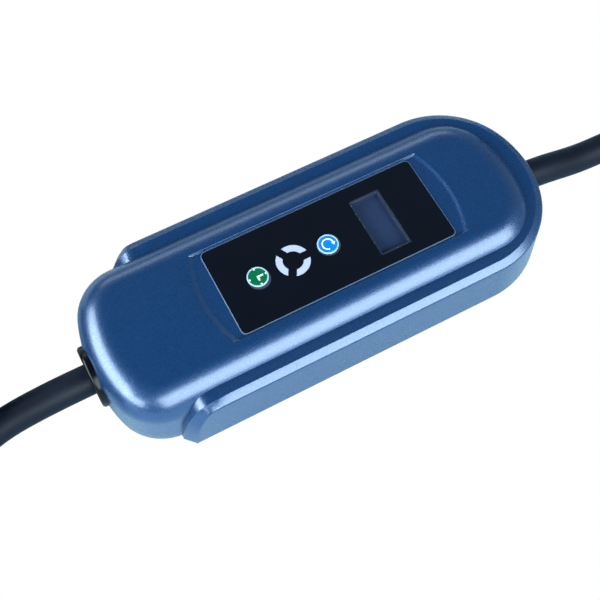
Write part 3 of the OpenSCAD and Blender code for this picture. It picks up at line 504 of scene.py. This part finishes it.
short_path = even(through([
    (124, 0, 19), (135, 0, 18), (148, 0, 15), (158, 0, 11.9), (166, 0, 9.8), (174, 0, 8.6),
    (187, 0, 8.1), (201, -1, 8.1), (216, -5, 8.1), (238, -9, 8.8), (263, -4, 12.4),
    (284, 10, 18.4), (298, 31, 25), (304, 56, 29.6), (304, 72, 30.8), (304, 84, 30.8)]), 4.0)

# %% [markdown]
# ## Sheath
#
# The sheath is a tube round each path. Its section is a circle of 48 points that is carried along
# without twisting. The thick rubber sheath is not quite even: its radius swells and sinks by a few
# hundredths of a millimetre.

# %% Cable sheaths
def tube(name, path, radius, mat, around=48, wobble=0.0, **more):
    """Tube round a path. Each ring is the last one turned by the smallest turn that takes the
    old direction to the new one, so that the tube doesn't twist."""
    p = np.asarray(path, float)
    head = np.gradient(p, axis=0)
    head /= np.linalg.norm(head, axis=1)[:, None]
    side = axes_for(head[0])[1]
    a = np.linspace(0, 2 * math.pi, around, endpoint=False)
    rings = []
    for k in range(len(p)):
        side = side - head[k] * np.dot(side, head[k])
        side /= np.linalg.norm(side)
        up = np.cross(head[k], side)
        r = radius + wobble * math.sin(0.31 * k) * math.sin(0.13 * k + 1)
        rings.append(p[k] + r * (np.cos(a)[:, None] * side + np.sin(a)[:, None] * up))
    faces = grid_faces(len(p), around, False, True)
    last = (len(p) - 1) * around
    faces += [list(range(around))[::-1], [last + k for k in range(around)]]
    return piece(name, np.array(rings), faces, mat, **more)


long_cable = tube("charging_cable", long_path, CABLE_D / 2, "cable_rubber", wobble=0.03)
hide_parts("vehicle_cord", "vehicle_coil", "connector_cord")
short_cable = tube("mains_cable", short_path, CABLE_D / 2, "cable_rubber", wobble=0.03)
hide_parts("mains_cord")
print("both cables are in place")

# %% [markdown]
# ## Upper housing: the rounded top
#
# Seen from above, the crown's outline has straight sides and two ends of three arcs each: corner,
# shallow arc, corner. `end_loop` finds where these arcs run into each other. Drawn in by an inset,
# the outline keeps its character, because the corner radii shrink with it. The shell is a stack of
# such outlines: a wall that leans in slightly, a quarter circle of 16 mm, the flat top, and then
# the rim and wall of the recess that holds the panel.

# %% Outlines of the shell
HALF_W = 52.0
TOP, PART_Z, RECESS_Z, PANEL_TOP, PANEL_X = 46.8, 11.0, 45.6, 46.2, 6.5
TOP_IN, TOP_R = 0.6, 16.0
RECESS_R, RECESS_HALF, RECESS_CORNER = 66.0, 26.0, 1.2
CROWN_RIGHT = (44.6, 118.5, 31.0, 79.0)
CROWN_LEFT = (44.6, END_X, 27.0, 85.0)
COLLAR_END = (HALF_W, END_X, 47.4, 61.4)
CORNER_N, END_N = 22, 26


def end_loop(shape, inset, corner=CORNER_N, end=END_N):
    """Rounded end from (x, -w) round to (x, w), drawn in by an inset: an arc rc, an arc re about
    the axis, an arc rc. The shape gives w, the end's x, rc and re."""
    w, xe, rc, re = (v - inset for v in shape)
    x_reach = math.sqrt((re - rc) ** 2 - (w - rc) ** 2)
    turn = math.degrees(math.atan2(w - rc, x_reach))
    cx = xe - re + x_reach
    return np.vstack([arc(cx, rc - w, rc, -90, -turn, corner),
                      arc(xe - re, 0, re, -turn, turn, end)[1:-1],
                      arc(cx, w - rc, rc, turn, 90, corner)])


def crown_loop(inset, sides=30):
    """Closed outline of the crown, counter-clockwise from the near right corner."""
    right, left = end_loop(CROWN_RIGHT, inset), -end_loop(CROWN_LEFT, inset)
    far = np.linspace(right[-1], left[0], sides + 2)[1:-1]
    near = np.linspace(left[-1], right[0], sides + 2)[1:-1]
    return np.vstack([right, far, left, near])


def recess_loop(grow, sides=30, end_grow=None):
    """Outline of the recess: two arcs and two straight sides with small corners, and the same
    number of points in each stretch as the crown's outline. The ends can grow by another amount
    than the sides."""
    r, rc = RECESS_R + (grow if end_grow is None else end_grow), RECESS_CORNER
    half, count = RECESS_HALF + grow, 2 * CORNER_N + END_N - 2
    reach = math.degrees(math.asin((half - rc) / (r - rc)))
    a = math.radians(reach)
    x, y = (r - rc) * math.cos(a), (r - rc) * math.sin(a)
    end = np.vstack([arc(x, -y, rc, -90, -reach, 6), arc(0, 0, r, -reach, reach, count - 10)[1:-1],
                     arc(x, y, rc, reach, 90, 6)])
    right = end + [PANEL_X + 4, 0]
    left = -end + [PANEL_X - 4, 0]
    far = np.linspace(right[-1], left[0], sides + 2)[1:-1]
    near = np.linspace(left[-1], right[0], sides + 2)[1:-1]
    return np.vstack([right, far, left, near])


levels = [(0.55, PART_Z - 0.05), (0.1, PART_Z + 0.05), (0.0, PART_Z + 0.5), (0.2, 17.0),
          (0.4, 24.0)]
levels += [(TOP_IN + TOP_R * (1 - math.cos(t)), TOP - TOP_R + TOP_R * math.sin(t))
           for t in np.linspace(0, math.pi / 2, 22)]
rings = [level(crown_loop(i), z) for i, z in levels]
rim = recess_loop(0.4, end_grow=1.7)
last = crown_loop(TOP_IN + TOP_R)
for t in (0.08, 0.3, 0.6, 0.9):
    rings.append(level(last + (rim - last) * t, TOP))
for t in np.linspace(0, 1, 12):
    rings.append(level(recess_loop(0.4 - 0.5 * t, end_grow=1.7 - 3.4 * t),
                       TOP - (TOP - RECESS_Z) * float(ease(t))))
crown = piece("upper_shell_crown", np.array(rings), grid_faces(len(rings), len(rim), False, True),
              "blue_metallic", sharp=28)
print("crown:", len(rings), "outlines of", len(rim), "points")

# %% [markdown]
# ## Upper housing: the collar
#
# A chamfered collar runs along both sides and round the mains end in a U. Its section rises as a
# wall that leans in by 1.2 mm, turns into a chamfer up to a crest, and falls again into the groove
# beside the crown. At its two free ends it doesn't stop square: it falls away in a bend of 14 mm
# and a sweep of 38 mm, and the outer edge of that end is bevelled. Both come from one rule: the
# height is the lower one of the section and of the end's curve at the same x, and outside the
# crest the end's curve is moved back by almost the distance from the crest.

# %% Collar
CREST_Z, CREST_IN, COLLAR_X = 41.8, 5.4, -79.0
BEND_R, SWEEP_R, MOVED_BACK = 14.0, 38.0, 0.963
section = rounded([(0.55, PART_Z - 0.05), (0, PART_Z + 0.4), (1.2, 39.4), (CREST_IN, CREST_Z),
                   (11.5, 40.9), (15.0, 40.6)], [0.2, 1.5, 0.8, 3.0], 7)
fill = [section[0]]
for a, b in zip(section[:-1], section[1:]):
    n = max(1, int(np.linalg.norm(b - a) / 2.0))
    fill += [a + (b - a) * k / n for k in range(1, n + 1)]
section = np.array(fill)


def spoke(degrees, r):
    """Arms (x, height) of length r: 0 degrees points up, more leans toward the vehicle end."""
    a = np.radians(degrees)
    return r * np.stack([-np.sin(a), np.cos(a)], -1)


bend = np.array([COLLAR_X, CREST_Z - BEND_R]) + spoke(np.linspace(0, 50, 30), BEND_R)
sweep = bend[-1] - spoke(50, SWEEP_R) + spoke(np.linspace(50, 80, 30), SWEEP_R)
foot = sweep[-1] + (sweep[-1, 1] - PART_Z + 1) * np.array([-1 / math.tan(math.radians(80)), -1])
fall = np.vstack([bend, sweep[1:], foot])[::-1]


def moved_back(y):
    """How far back the end's curve lies at y: nothing inside the crest, then almost 1 to 1."""
    return MOVED_BACK * np.maximum(0, np.abs(y) - (HALF_W - CREST_IN))


def end_height(x, y):
    """Height of the collar's end at x; beyond the curve it rises by a quarter of the distance."""
    q = x - moved_back(y)
    beyond = CREST_Z + 0.25 * (q - COLLAR_X)
    return np.where(q > COLLAR_X, beyond, np.interp(q, fall[:, 0], fall[:, 1]))


def lower_of(a, b, r):
    """Smooth minimum: the smaller one, with a rounding of about r where they meet."""
    h = np.clip(0.5 + 0.5 * (b - a) / r, 0, 1)
    return b + (a - b) * h - r * h * (1 - h)


x_side = np.r_[np.arange(foot[0] + 0.02, COLLAR_X + 9, 0.42), np.linspace(COLLAR_X + 9, 60, 24)]
columns = []
for inset, z in section:
    end = end_loop(COLLAR_END, inset, corner=30)
    near = np.stack([x_side, np.full(len(x_side), inset - HALF_W)], -1)
    far = np.stack([x_side[::-1], np.full(len(x_side), HALF_W - inset)], -1)
    line = np.vstack([near, end, far])
    zz = np.where(line[:, 0] < 40, lower_of(np.full(len(line), z), end_height(*line.T), 2.2), z)
    end_x = np.interp(PART_Z, fall[:, 1], fall[:, 0]) + moved_back(line[:, 1])
    line[:, 0] = np.maximum(line[:, 0], end_x)
    columns.append(np.c_[line, np.maximum(zz, PART_Z - 0.05)])
columns = np.array(columns)
collar = piece("upper_shell_collar", columns, grid_faces(*columns.shape[:2]), "blue_metallic",
               sharp=38)
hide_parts("upper_housing")
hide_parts("upper_housing")
print("collar:", columns.shape[0], "lines of", columns.shape[1], "points")

# %% [markdown]
# ## Lower housing
#
# The tray under the joint is a dark, plain shell. Its sides lean in to a flat floor with a rounded
# foot, so that the box seems to float a little above what it lies on.

# %% Lower housing
def tray_levels(outline_of):
    """Stack of outlines: joint face, leaning side, rounded foot, floor."""
    side = rounded([(1.2, PART_Z - 0.3), (0.4, PART_Z - 0.32), (0.4, PART_Z - 0.7), (5.9, 0.0),
                    (14.0, 0.0)], [0.2, 0.1, 2.0], 6)
    return [level(outline_of(i), z) for i, z in side]


def collar_loop(inset):
    """Closed outline of the collar's tray: the U with a straight edge across its open side."""
    end = end_loop(COLLAR_END, inset)
    x0 = foot[0] + 5.2 + inset
    far = np.linspace(end[-1], (x0, HALF_W - inset), 12)[1:]
    near = np.linspace((x0, inset - HALF_W), end[0], 12)[:-1]
    return np.vstack([end, far, near])


pts, faces, n = [], [], 0
for loops in (tray_levels(crown_loop), tray_levels(collar_loop)):
    loops = np.array(loops)
    rows, cols = loops.shape[:2]
    pts.append(loops.reshape(-1, 3))
    faces += grid_faces(rows, cols, False, True, n)
    faces.append([n + (rows - 1) * cols + k for k in range(cols)])
    n += rows * cols
tray = piece("lower_shell", np.vstack(pts), faces, "dark_housing", sharp=40)
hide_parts("lower_housing")
print("tray points:", n)

# %% [markdown]
# ## Panel
#
# The panel is a thin glossy sheet with small corner radii. Its edge is a strip with a fine bevel,
# painted in a lighter tone: a painted highlight, which shows as a light line round the black. It
# lies on the floor of the recess. The openings for the window, the lamp ring and the two buttons
# are cut through both.

# %% Panel
def rounded_rect(cx, cy, half_x, half_y, r, n=8):
    """Outline of a rectangle with rounded corners, counter-clockwise."""
    return np.vstack([arc(cx + half_x - r, cy - half_y + r, r, -90, 0, n),
                      arc(cx + half_x - r, cy + half_y - r, r, 0, 90, n),
                      arc(cx - half_x + r, cy + half_y - r, r, 90, 180, n),
                      arc(cx - half_x + r, cy - half_y + r, r, 180, 270, n)])


def cut(target, cutters):
    """Subtracts each cutter from the target and removes the cutters."""
    for c in cutters:
        mod = target.modifiers.new("cut", "BOOLEAN")
        mod.operation, mod.object, mod.solver = "DIFFERENCE", c, "EXACT"
        bpy.context.view_layer.objects.active = target
        bpy.ops.object.modifier_apply(modifier=mod.name)
        bpy.data.objects.remove(c)


def crisp(obj, width):
    """Fine bevel on the sharp edges, with the normals of the large flat faces kept."""
    obj.data.set_sharp_from_angle(angle=math.radians(30))
    mod = obj.modifiers.new("edge", "BEVEL")
    mod.width, mod.segments, mod.limit_method = width * MM, 3, "ANGLE"
    obj.modifiers.new("normals", "WEIGHTED_NORMAL").keep_sharp = False


def panel_rect(inset):
    """Outline of the panel, drawn in by an inset."""
    return rounded_rect(PANEL_X, 0, 60.5 - inset, 25.3 - inset, 3 - inset)


LAMP_X, LAMP_R, LAMP_BAND, LAMP_GAP = -13.7, 8.8, 3.5, 4.3
BUTTONS = {"timer_button": -33.5, "reset_button": 6.0}
BUTTON_HOLE_R = 5.75
WINDOW_AT = (35.5, -0.9)
EDGE = 0.4
panel = prisms("panel_sheet", [panel_rect(EDGE)], RECESS_Z + 0.02, PANEL_TOP, "panel_gloss")
edge = [(0.1, RECESS_Z + 0.02), (0.0, RECESS_Z + 0.1), (0.0, PANEL_TOP - 0.3),
        (0.12, PANEL_TOP - 0.08), (EDGE, PANEL_TOP)]
# The edge strip's lighter material is a painted highlight round the panel.
edge_highlight = np.array([level(panel_rect(i), z) for i, z in edge])
edge_highlight = piece("panel_edge", edge_highlight, grid_faces(*edge_highlight.shape[:2], False, True), "painted_edge_highlight",
            slot="panel_gloss")
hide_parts("front_panel")


def lamp_arcs(grow):
    """The ring's three segments. The gaps at 0, 120 and 240 degrees have parallel sides, so on a
    circle of radius r half a gap of width g takes the angle asin(g / (2 * r))."""
    out = []
    half = LAMP_GAP / 2 - grow
    for a in (0, 120, 240):
        r0, r1 = LAMP_R - LAMP_BAND - grow, LAMP_R + grow
        g0, g1 = math.degrees(math.asin(half / r0)), math.degrees(math.asin(half / r1))
        out.append(np.vstack([arc(LAMP_X, 0, r1, a + g1, a + 120 - g1, 30),
                              arc(LAMP_X, 0, r0, a + 120 - g0, a + g0, 30)]))
    return out


def openings(grow):
    """Cutters for the three lamp segments, the two buttons and the window."""
    outlines = [*lamp_arcs(0.1 + grow), rounded_rect(*WINDOW_AT, 8.6 + grow, 17.4 + grow, 0.6),
                *[arc(x, 0, BUTTON_HOLE_R + grow, 0, 355, 72) for x in BUTTONS.values()]]
    return [prisms(f"cut_{k}", [o], RECESS_Z - 3, PANEL_TOP + 1, "dark_gap")
            for k, o in enumerate(outlines)]


cut(panel, openings(0.0))
crisp(panel, 0.06)
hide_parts("front_panel")
seat = prisms("recess_floor", [recess_loop(-0.1, end_grow=-1.7)], RECESS_Z - 1.2, RECESS_Z,
              "blue_metallic")
cut(seat, openings(0.15))
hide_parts("upper_housing")

segments = prisms("lamp_segments", lamp_arcs(0.0), 44.0, PANEL_TOP + 0.04, "light_guide")
crisp(segments, 0.1)
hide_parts("status_light_guide")
print("panel and lamp ring are cut")

# %% [markdown]
# ## Buttons
#
# Each cap is turned: a pale rim, then a shallow dish in the button's own colour. The symbols are
# low flat shapes in the dish, whose top lies a tenth of a millimetre under the rim: a clock with
# four ticks and two hands on the green cap, and a circular arrow on the blue one. A grey crescent
# on the panel beside each cap is painted light: a flat grey sheet that stands in for the
# reflection of the cap's raised rim in the glossy panel.

# %% Buttons
CAP_TOP, REFLECTION_INNER_R = PANEL_TOP + 0.5, 5.8
PRINT_Z = (CAP_TOP - 0.3, CAP_TOP - 0.1)


def cap(body, x, face_mat):
    """One button: rim, dish and flange, which all ride on the button's body."""
    rim_ring = lathe(f"{body}_rim", rounded([(5.3, 43.9), (5.55, 43.9), (5.55, CAP_TOP),
                     (4.8, CAP_TOP), (4.8, CAP_TOP - 0.5)], [0.1, 0.3, 0.15], 5),
                     (x, 0, 0), (0, 0, 1), "rim_pale", body=body, slot=face_mat)
    t = np.linspace(0, 1, 9)
    dish = np.stack([4.85 * (1 - t), CAP_TOP - 0.14 - 0.16 * (1 - (1 - t) ** 2)], -1)
    face = lathe(f"{body}_face", dish, (x, 0, 0), (0, 0, 1), face_mat, body=body)
    under = lathe(f"{body}_flange", rounded([(0, 42.1), (2, 42.1), (2, 42.5), (6.8, 42.5),
                  (6.8, 43.9), (5.3, 43.9)], [0.1, 0.1, 0.2, 0.2], 3), (x, 0, 0), (0, 0, 1),
                  face_mat, body=body)
    for o in (rim_ring, face, under):
        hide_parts(body)


def bar(x, y, dx, dy, half):
    """Outline of a bar from (x, y) to (x + dx, y + dy), half wide on each side."""
    n = np.array([-dy, dx]) / math.hypot(dx, dy) * half
    a, b = np.array([x, y]), np.array([x + dx, y + dy])
    return np.array([a - n, b - n, b + n, a + n])


for body, x in BUTTONS.items():
    cap(body, x, "button_green" if body == "timer_button" else "button_blue")
timer_x, reset_x = BUTTONS["timer_button"], BUTTONS["reset_button"]
ticks = [bar(timer_x + 4.0 * math.cos(a), 4.0 * math.sin(a), 0.85 * math.cos(a),
             0.85 * math.sin(a), 0.42) for a in np.radians([0, 90, 180, 270])]
hands = np.array([(-0.42, 0.42), (-0.42, -2.3), (0.42, -2.3), (0.42, -0.42), (3.0, -0.42),
                  (3.0, 0.42)])
prisms("timer_symbol", [*ticks, hands + [timer_x, 0]], *PRINT_Z, "print_white",
       body="timer_button", slot="button_green")
turn = math.radians(-10)
out_way = np.array([math.cos(turn), math.sin(turn)])
on_way = np.array([math.sin(turn), -math.cos(turn)])
tip = out_way * 2.95 + [reset_x, 0]
head = np.array([tip + 1.0 * out_way - 0.5 * on_way, tip - 1.0 * out_way - 0.5 * on_way,
                 tip + 1.15 * on_way])
prisms("reset_symbol", [sector(reset_x, 0, 2.6, 3.25, -6, 262, 48), head], *PRINT_Z,
       "print_white", body="reset_button", slot="button_blue")


def crescent(x, shift, toward, r):
    """Outline of a painted reflection beside the cap's opening: part of a disc whose centre is
    moved by shift at an angle.
    """
    u = np.array([math.cos(math.radians(toward)), math.sin(math.radians(toward))])
    reach = math.acos((REFLECTION_INNER_R ** 2 + shift ** 2 - r ** 2) / (2 * REFLECTION_INNER_R * shift))
    p = REFLECTION_INNER_R * np.array([math.cos(reach), math.sin(reach)]) - [shift, 0]
    outer_reach = math.degrees(math.atan2(p[1], p[0]))
    outer = arc(x + shift * u[0], shift * u[1], r, toward - outer_reach, toward + outer_reach, 40)
    inner = arc(x, 0, REFLECTION_INNER_R, toward + math.degrees(reach), toward - math.degrees(reach), 40)
    return np.vstack([outer, inner])


# Painted reflection: flat grey crescents on the panel stand in for each cap's rim mirrored in the
# gloss.
painted_reflections = prisms("painted_cap_reflections",
                  [crescent(timer_x, 1.15, -82, 5.95), crescent(reset_x, 0.5, -72, 6.1)],
                  PANEL_TOP - 0.1, PANEL_TOP + 0.03, "painted_reflection_grey", slot="panel_gloss")
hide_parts("front_panel")
print("two buttons with their symbols")

# %% [markdown]
# ## Display
#
# The pane lies level with the panel, and the liquid crystal display sits about 3 mm below it. Seen
# at a slant, the walls of the opening show as darker strips beside the lighter glass.

# %% Display
window = prisms("window_pane", [rounded_rect(*WINDOW_AT, 8.5, 17.3, 0.5)], 45.95, PANEL_TOP,
                "clear_window")
crisp(window, 0.05)
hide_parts("display_window")
slope = np.array([level(rounded_rect(*WINDOW_AT, 8.55 - i, 17.35 - i, 0.5), z)
                  for i, z in [(0, 45.92), (0.9, 45.78), (1.15, 45.6), (1.3, 43.05)]])
liner = piece("window_liner", slope, grid_faces(*slope.shape[:2], False, True), "liner_grey",
              slot="lcd_glass")
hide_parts("lcd_display")
glass = prisms("display_glass", [rounded_rect(*WINDOW_AT, 8.8, 18.2, 0.4)], 41.0, 43.0, "lcd_glass")
frame_part = prisms("display_frame", [rounded_rect(*WINDOW_AT, 11.4, 21.2, 0.8)], 38.2, 40.9,
                    "dark_gap", slot="lcd_glass")
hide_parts("lcd_display")
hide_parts("lcd_display")
print("display and pane are in place")

# %% [markdown]
# ## Grommets
#
# At the vehicle end a glossy rubber grommet stands out of the housing: a wide bead against the
# wall, a waist, and a second, slightly smaller lip. The one at the mains end stands out only a
# little.

# %% Grommets
def grommet(name, x, z, direction, r_flange, out, r_lip, node):
    """Turned about the cable: (radius, distance out of the wall)."""
    prof = rounded([(8.05, -4.0), (r_flange - 0.1, -3.6), (r_flange, out), (r_lip, out),
                    (r_lip - 0.5, out - 0.6), (8.4, out - 0.7), (8.05, out - 1.7)],
                   [1.5, 2.4, 0.5, 0.3, 0.2], 12)
    g = lathe(name, prof, (x, 0, z), direction, "grommet_gloss", closed=True, slot="seal_rubber")
    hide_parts(node)


grommet("vehicle_sleeve", -END_X, 22.0, (-1, 0, 0), 16.4, 1.6, 12.6, "vehicle_grommet")
grommet("mains_sleeve", END_X, 19.0, (1, 0, 0), 12.2, 1.3, 10.6, "mains_grommet")
print("grommets are turned")

# %% [markdown]
# ## Ties of the coil
#
# Three straps hold the turns together. A strap at a polar angle meets the cable where its turns
# cross that angle; it follows the convex outline round all these circles. The outline is found
# again for each slice of the strap's width, so the strap lies on the turns even where they climb.
# A second layer on the outside is the strap's free end.

# %% Coil ties
def outline_at(polar, direction, radius):
    """Points round the turns at one polar angle. In a direction u of the upright section it is the
    crossing c that reaches furthest along u, plus radius times u."""
    turned = np.arange((-82 - polar) % 360, LAST_TURN, 360)
    at = winding(turned)
    c = np.stack([np.hypot(*(at[:, :2] - COIL).T), at[:, 2]], -1)
    u = np.stack([np.cos(direction), np.sin(direction)], -1)
    p = c[np.argmax(u @ c.T, axis=1)] + radius[:, None] * u
    a = math.radians(polar)
    return np.stack([COIL[0] + p[:, 0] * math.cos(a), COIL[1] + p[:, 0] * math.sin(a), p[:, 1]], -1)


def strap(polar, start, end, lift, thick, half, ends, first):
    """Band round the turns from one direction to another, in degrees: a closed section whose outer
    side is rounded at both edges. If it has ends, both thin out. Its points count from first."""
    w = np.radians(np.linspace(start, end, 150))
    thin = ease((w - w[0]) / 0.12) * ease((w[-1] - w) / 0.12) if ends else np.ones(len(w))
    base, full = np.full(len(w), CABLE_D / 2 + lift), thick * (0.06 + 0.94 * thin)
    outer = [(-half, 0.0), (-half, 0.6), (0.35 - half, 1.0), (-half / 2, 1.0), (0, 1.0),
             (half / 2, 1.0), (half - 0.35, 1.0), (half, 0.6)]
    inner = [(half, 0.0), (half / 2, 0.0), (0, 0.0), (-half / 2, 0.0)]
    grid = np.array([outline_at(polar + o, w, base + f * full) for o, f in outer + inner])
    rows, cols = grid.shape[:2]
    faces = grid_faces(rows, cols, True, not ends, first)
    if ends:
        faces += [[first + k * cols + j for k in range(rows)] for j in (0, cols - 1)]
    return grid.reshape(-1, 3), faces


BANDS = ((-90, 267.6, 0.06, 1.3, 6.0, False), (-48, 62, 1.4, 1.1, 5.7, True))
pts, faces, n = [], [], 0
for polar in (15, 135, 255):
    for band in BANDS:
        p, f = strap(polar, *band, n)
        pts.append(p)
        faces += f
        n += len(p)
ties = piece("coil_straps", np.vstack(pts), faces, "tie_fabric", sharp=50)
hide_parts("coil_ties")
print("points of the three ties:", n)

# %% [markdown]
# ## Handle of the connector
#
# Both halves come from one closed section: outer wall, front edge, inner wall, and the wall at the
# tail with the bore for the bend relief. The section is swept through half a turn about an axis
# that rises by 15.5 mm from the tail to the front, while the width grows to 1.06 times the height
# along the grip. The halves meet at a fine groove, and two deep bores in the right half hold the
# screw heads.

# %% Connector handle
RISE, REAR_R, FRONT_R = 15.5, 15.5, 31.0
HEAD_R, HEAD_DEPTH = 3.1, 4.5
BOOT_OUT, BOOT_LENGTH = 26.0, 34.0
SIDES = (("connector_shell_left", 1), ("connector_shell_right", -1))


def axis_z(s):
    """Height of the handle's axis: a straight rise, eased into the level front within 16 mm."""
    u = np.clip(s - 80, 0, 16)
    return TAIL_Z + RISE / 88 * (np.minimum(s, 80) + u - u * u / 32)


outer = rounded([(0, 10.65), (0, REAR_R), (22, REAR_R + 1), (78, FRONT_R - 9), (88, FRONT_R),
                 (99.5, FRONT_R), (99.5, FRONT_R - 2.6)], [1.6, 60, 14, 5, 1.0], 10)
inner = np.array([(88.3, FRONT_R - 2.6), (78.6, FRONT_R - 11.6), (22, REAR_R - 1.6),
                  (5.2, REAR_R - 2.6), (5.2, 10.65)])
section = np.vstack([outer, inner])
wide = np.interp(section[:, 0], [0, 22, 78, 88], [1, 1.06, 1.04, 1])
on_skin = np.r_[np.ones(len(outer)), np.zeros(len(inner))] * (section[:, 1] > 11)
on_skin[len(outer) - 1] = 0
halves = {}
for node, side in SIDES:
    turn_by = np.r_[0, 1.4, np.linspace(4, 176, 60), 178.6, 180]
    rows = []
    for b in turn_by:
        r = section[:, 1] - 0.4 * on_skin * (b in (0, 180))
        y = CONNECTOR_Y + side * (0.05 + r * wide * math.sin(math.radians(b)))
        rows.append(np.stack([TAIL_X + section[:, 0], y,
                              axis_z(section[:, 0]) + r * math.cos(math.radians(b))], -1))
    n = len(section)
    faces = grid_faces(len(rows), n, False, True)
    faces += [list(range(n)), [(len(rows) - 1) * n + k for k in range(n)]]
    halves[node] = piece(node.replace("connector", "handle"), np.array(rows), faces,
                         "connector_plastic", sharp=30)
    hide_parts(node)
bores = []
for s in (36, 66):
    grip = np.interp(s, [22, 78], [1.06 * (REAR_R + 1), 1.04 * (FRONT_R - 9)])
    at = (TAIL_X + s, CONNECTOR_Y, axis_z(s))
    bores.append(lathe(f"bore_{s}", [(0, grip - HEAD_DEPTH), (HEAD_R, grip - HEAD_DEPTH),
                       (HEAD_R, 40), (0, 40)], at, (0, -1, 0), "dark_gap", n=48))
    for node, side in SIDES:
        post = lathe(f"post_{s}_{node[-4:]}", [(1.4, 0.1), (3.4, 0.1), (3.4, grip - HEAD_DEPTH),
                     (1.4, grip - HEAD_DEPTH)], at, (0, side, 0), "connector_plastic", n=32,
                     closed=True)
        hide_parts(node)
cut(halves["connector_shell_right"], bores)
halves["connector_shell_right"].data.set_sharp_from_angle(angle=math.radians(30))

ribs = [(8.05, 0), (9.6, 0)]
for k in range(4):
    r, s = 10.4 + 0.6 * k, 3 + 6 * k
    ribs += [(9.6, s), (r, s), (r, s + 4), (9.6, s + 4)]
ribs = rounded([*ribs, (9.6, BOOT_LENGTH), (8.05, BOOT_LENGTH)],
               [0.5] + [0.4, 0.7, 0.7, 0.4] * 4 + [0.3], 4)
boot = lathe("bend_relief", ribs, (TAIL_X - BOOT_OUT, CONNECTOR_Y, TAIL_Z), (1, 0, 0),
             "seal_rubber", n=72, closed=True)
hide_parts("connector_boot")
print("handle and bend relief are in place")

# %% [markdown]

# %% [markdown]
# ## Slots of the parts that keep their shape
#
# The remaining parts keep the shape that they have in the CAD model. Each gets the material of its
# slot.

# %% Slots of the CAD parts
covered = {"upper_housing", "lower_housing", "front_panel", "display_window", "lcd_display",
           "timer_button", "reset_button", "status_light_guide", "vehicle_grommet",
           "mains_grommet", "vehicle_cord", "vehicle_coil", "connector_cord", "mains_cord",
           "coil_ties", "connector_boot", "connector_shell_left", "connector_shell_right"}
slots = {s["node"]: s["material_slot"] for s in frame["record"]["subparts"]}
for node, obj in frame["nodes"].items():
    if node in covered:
        continue
    obj.data.materials.clear()
    obj.data.materials.append(M[slots[node]])
print("CAD parts with a material:", len(frame["nodes"]) - len(covered))

# %% [markdown]
# ## End
#

# %% End
import json
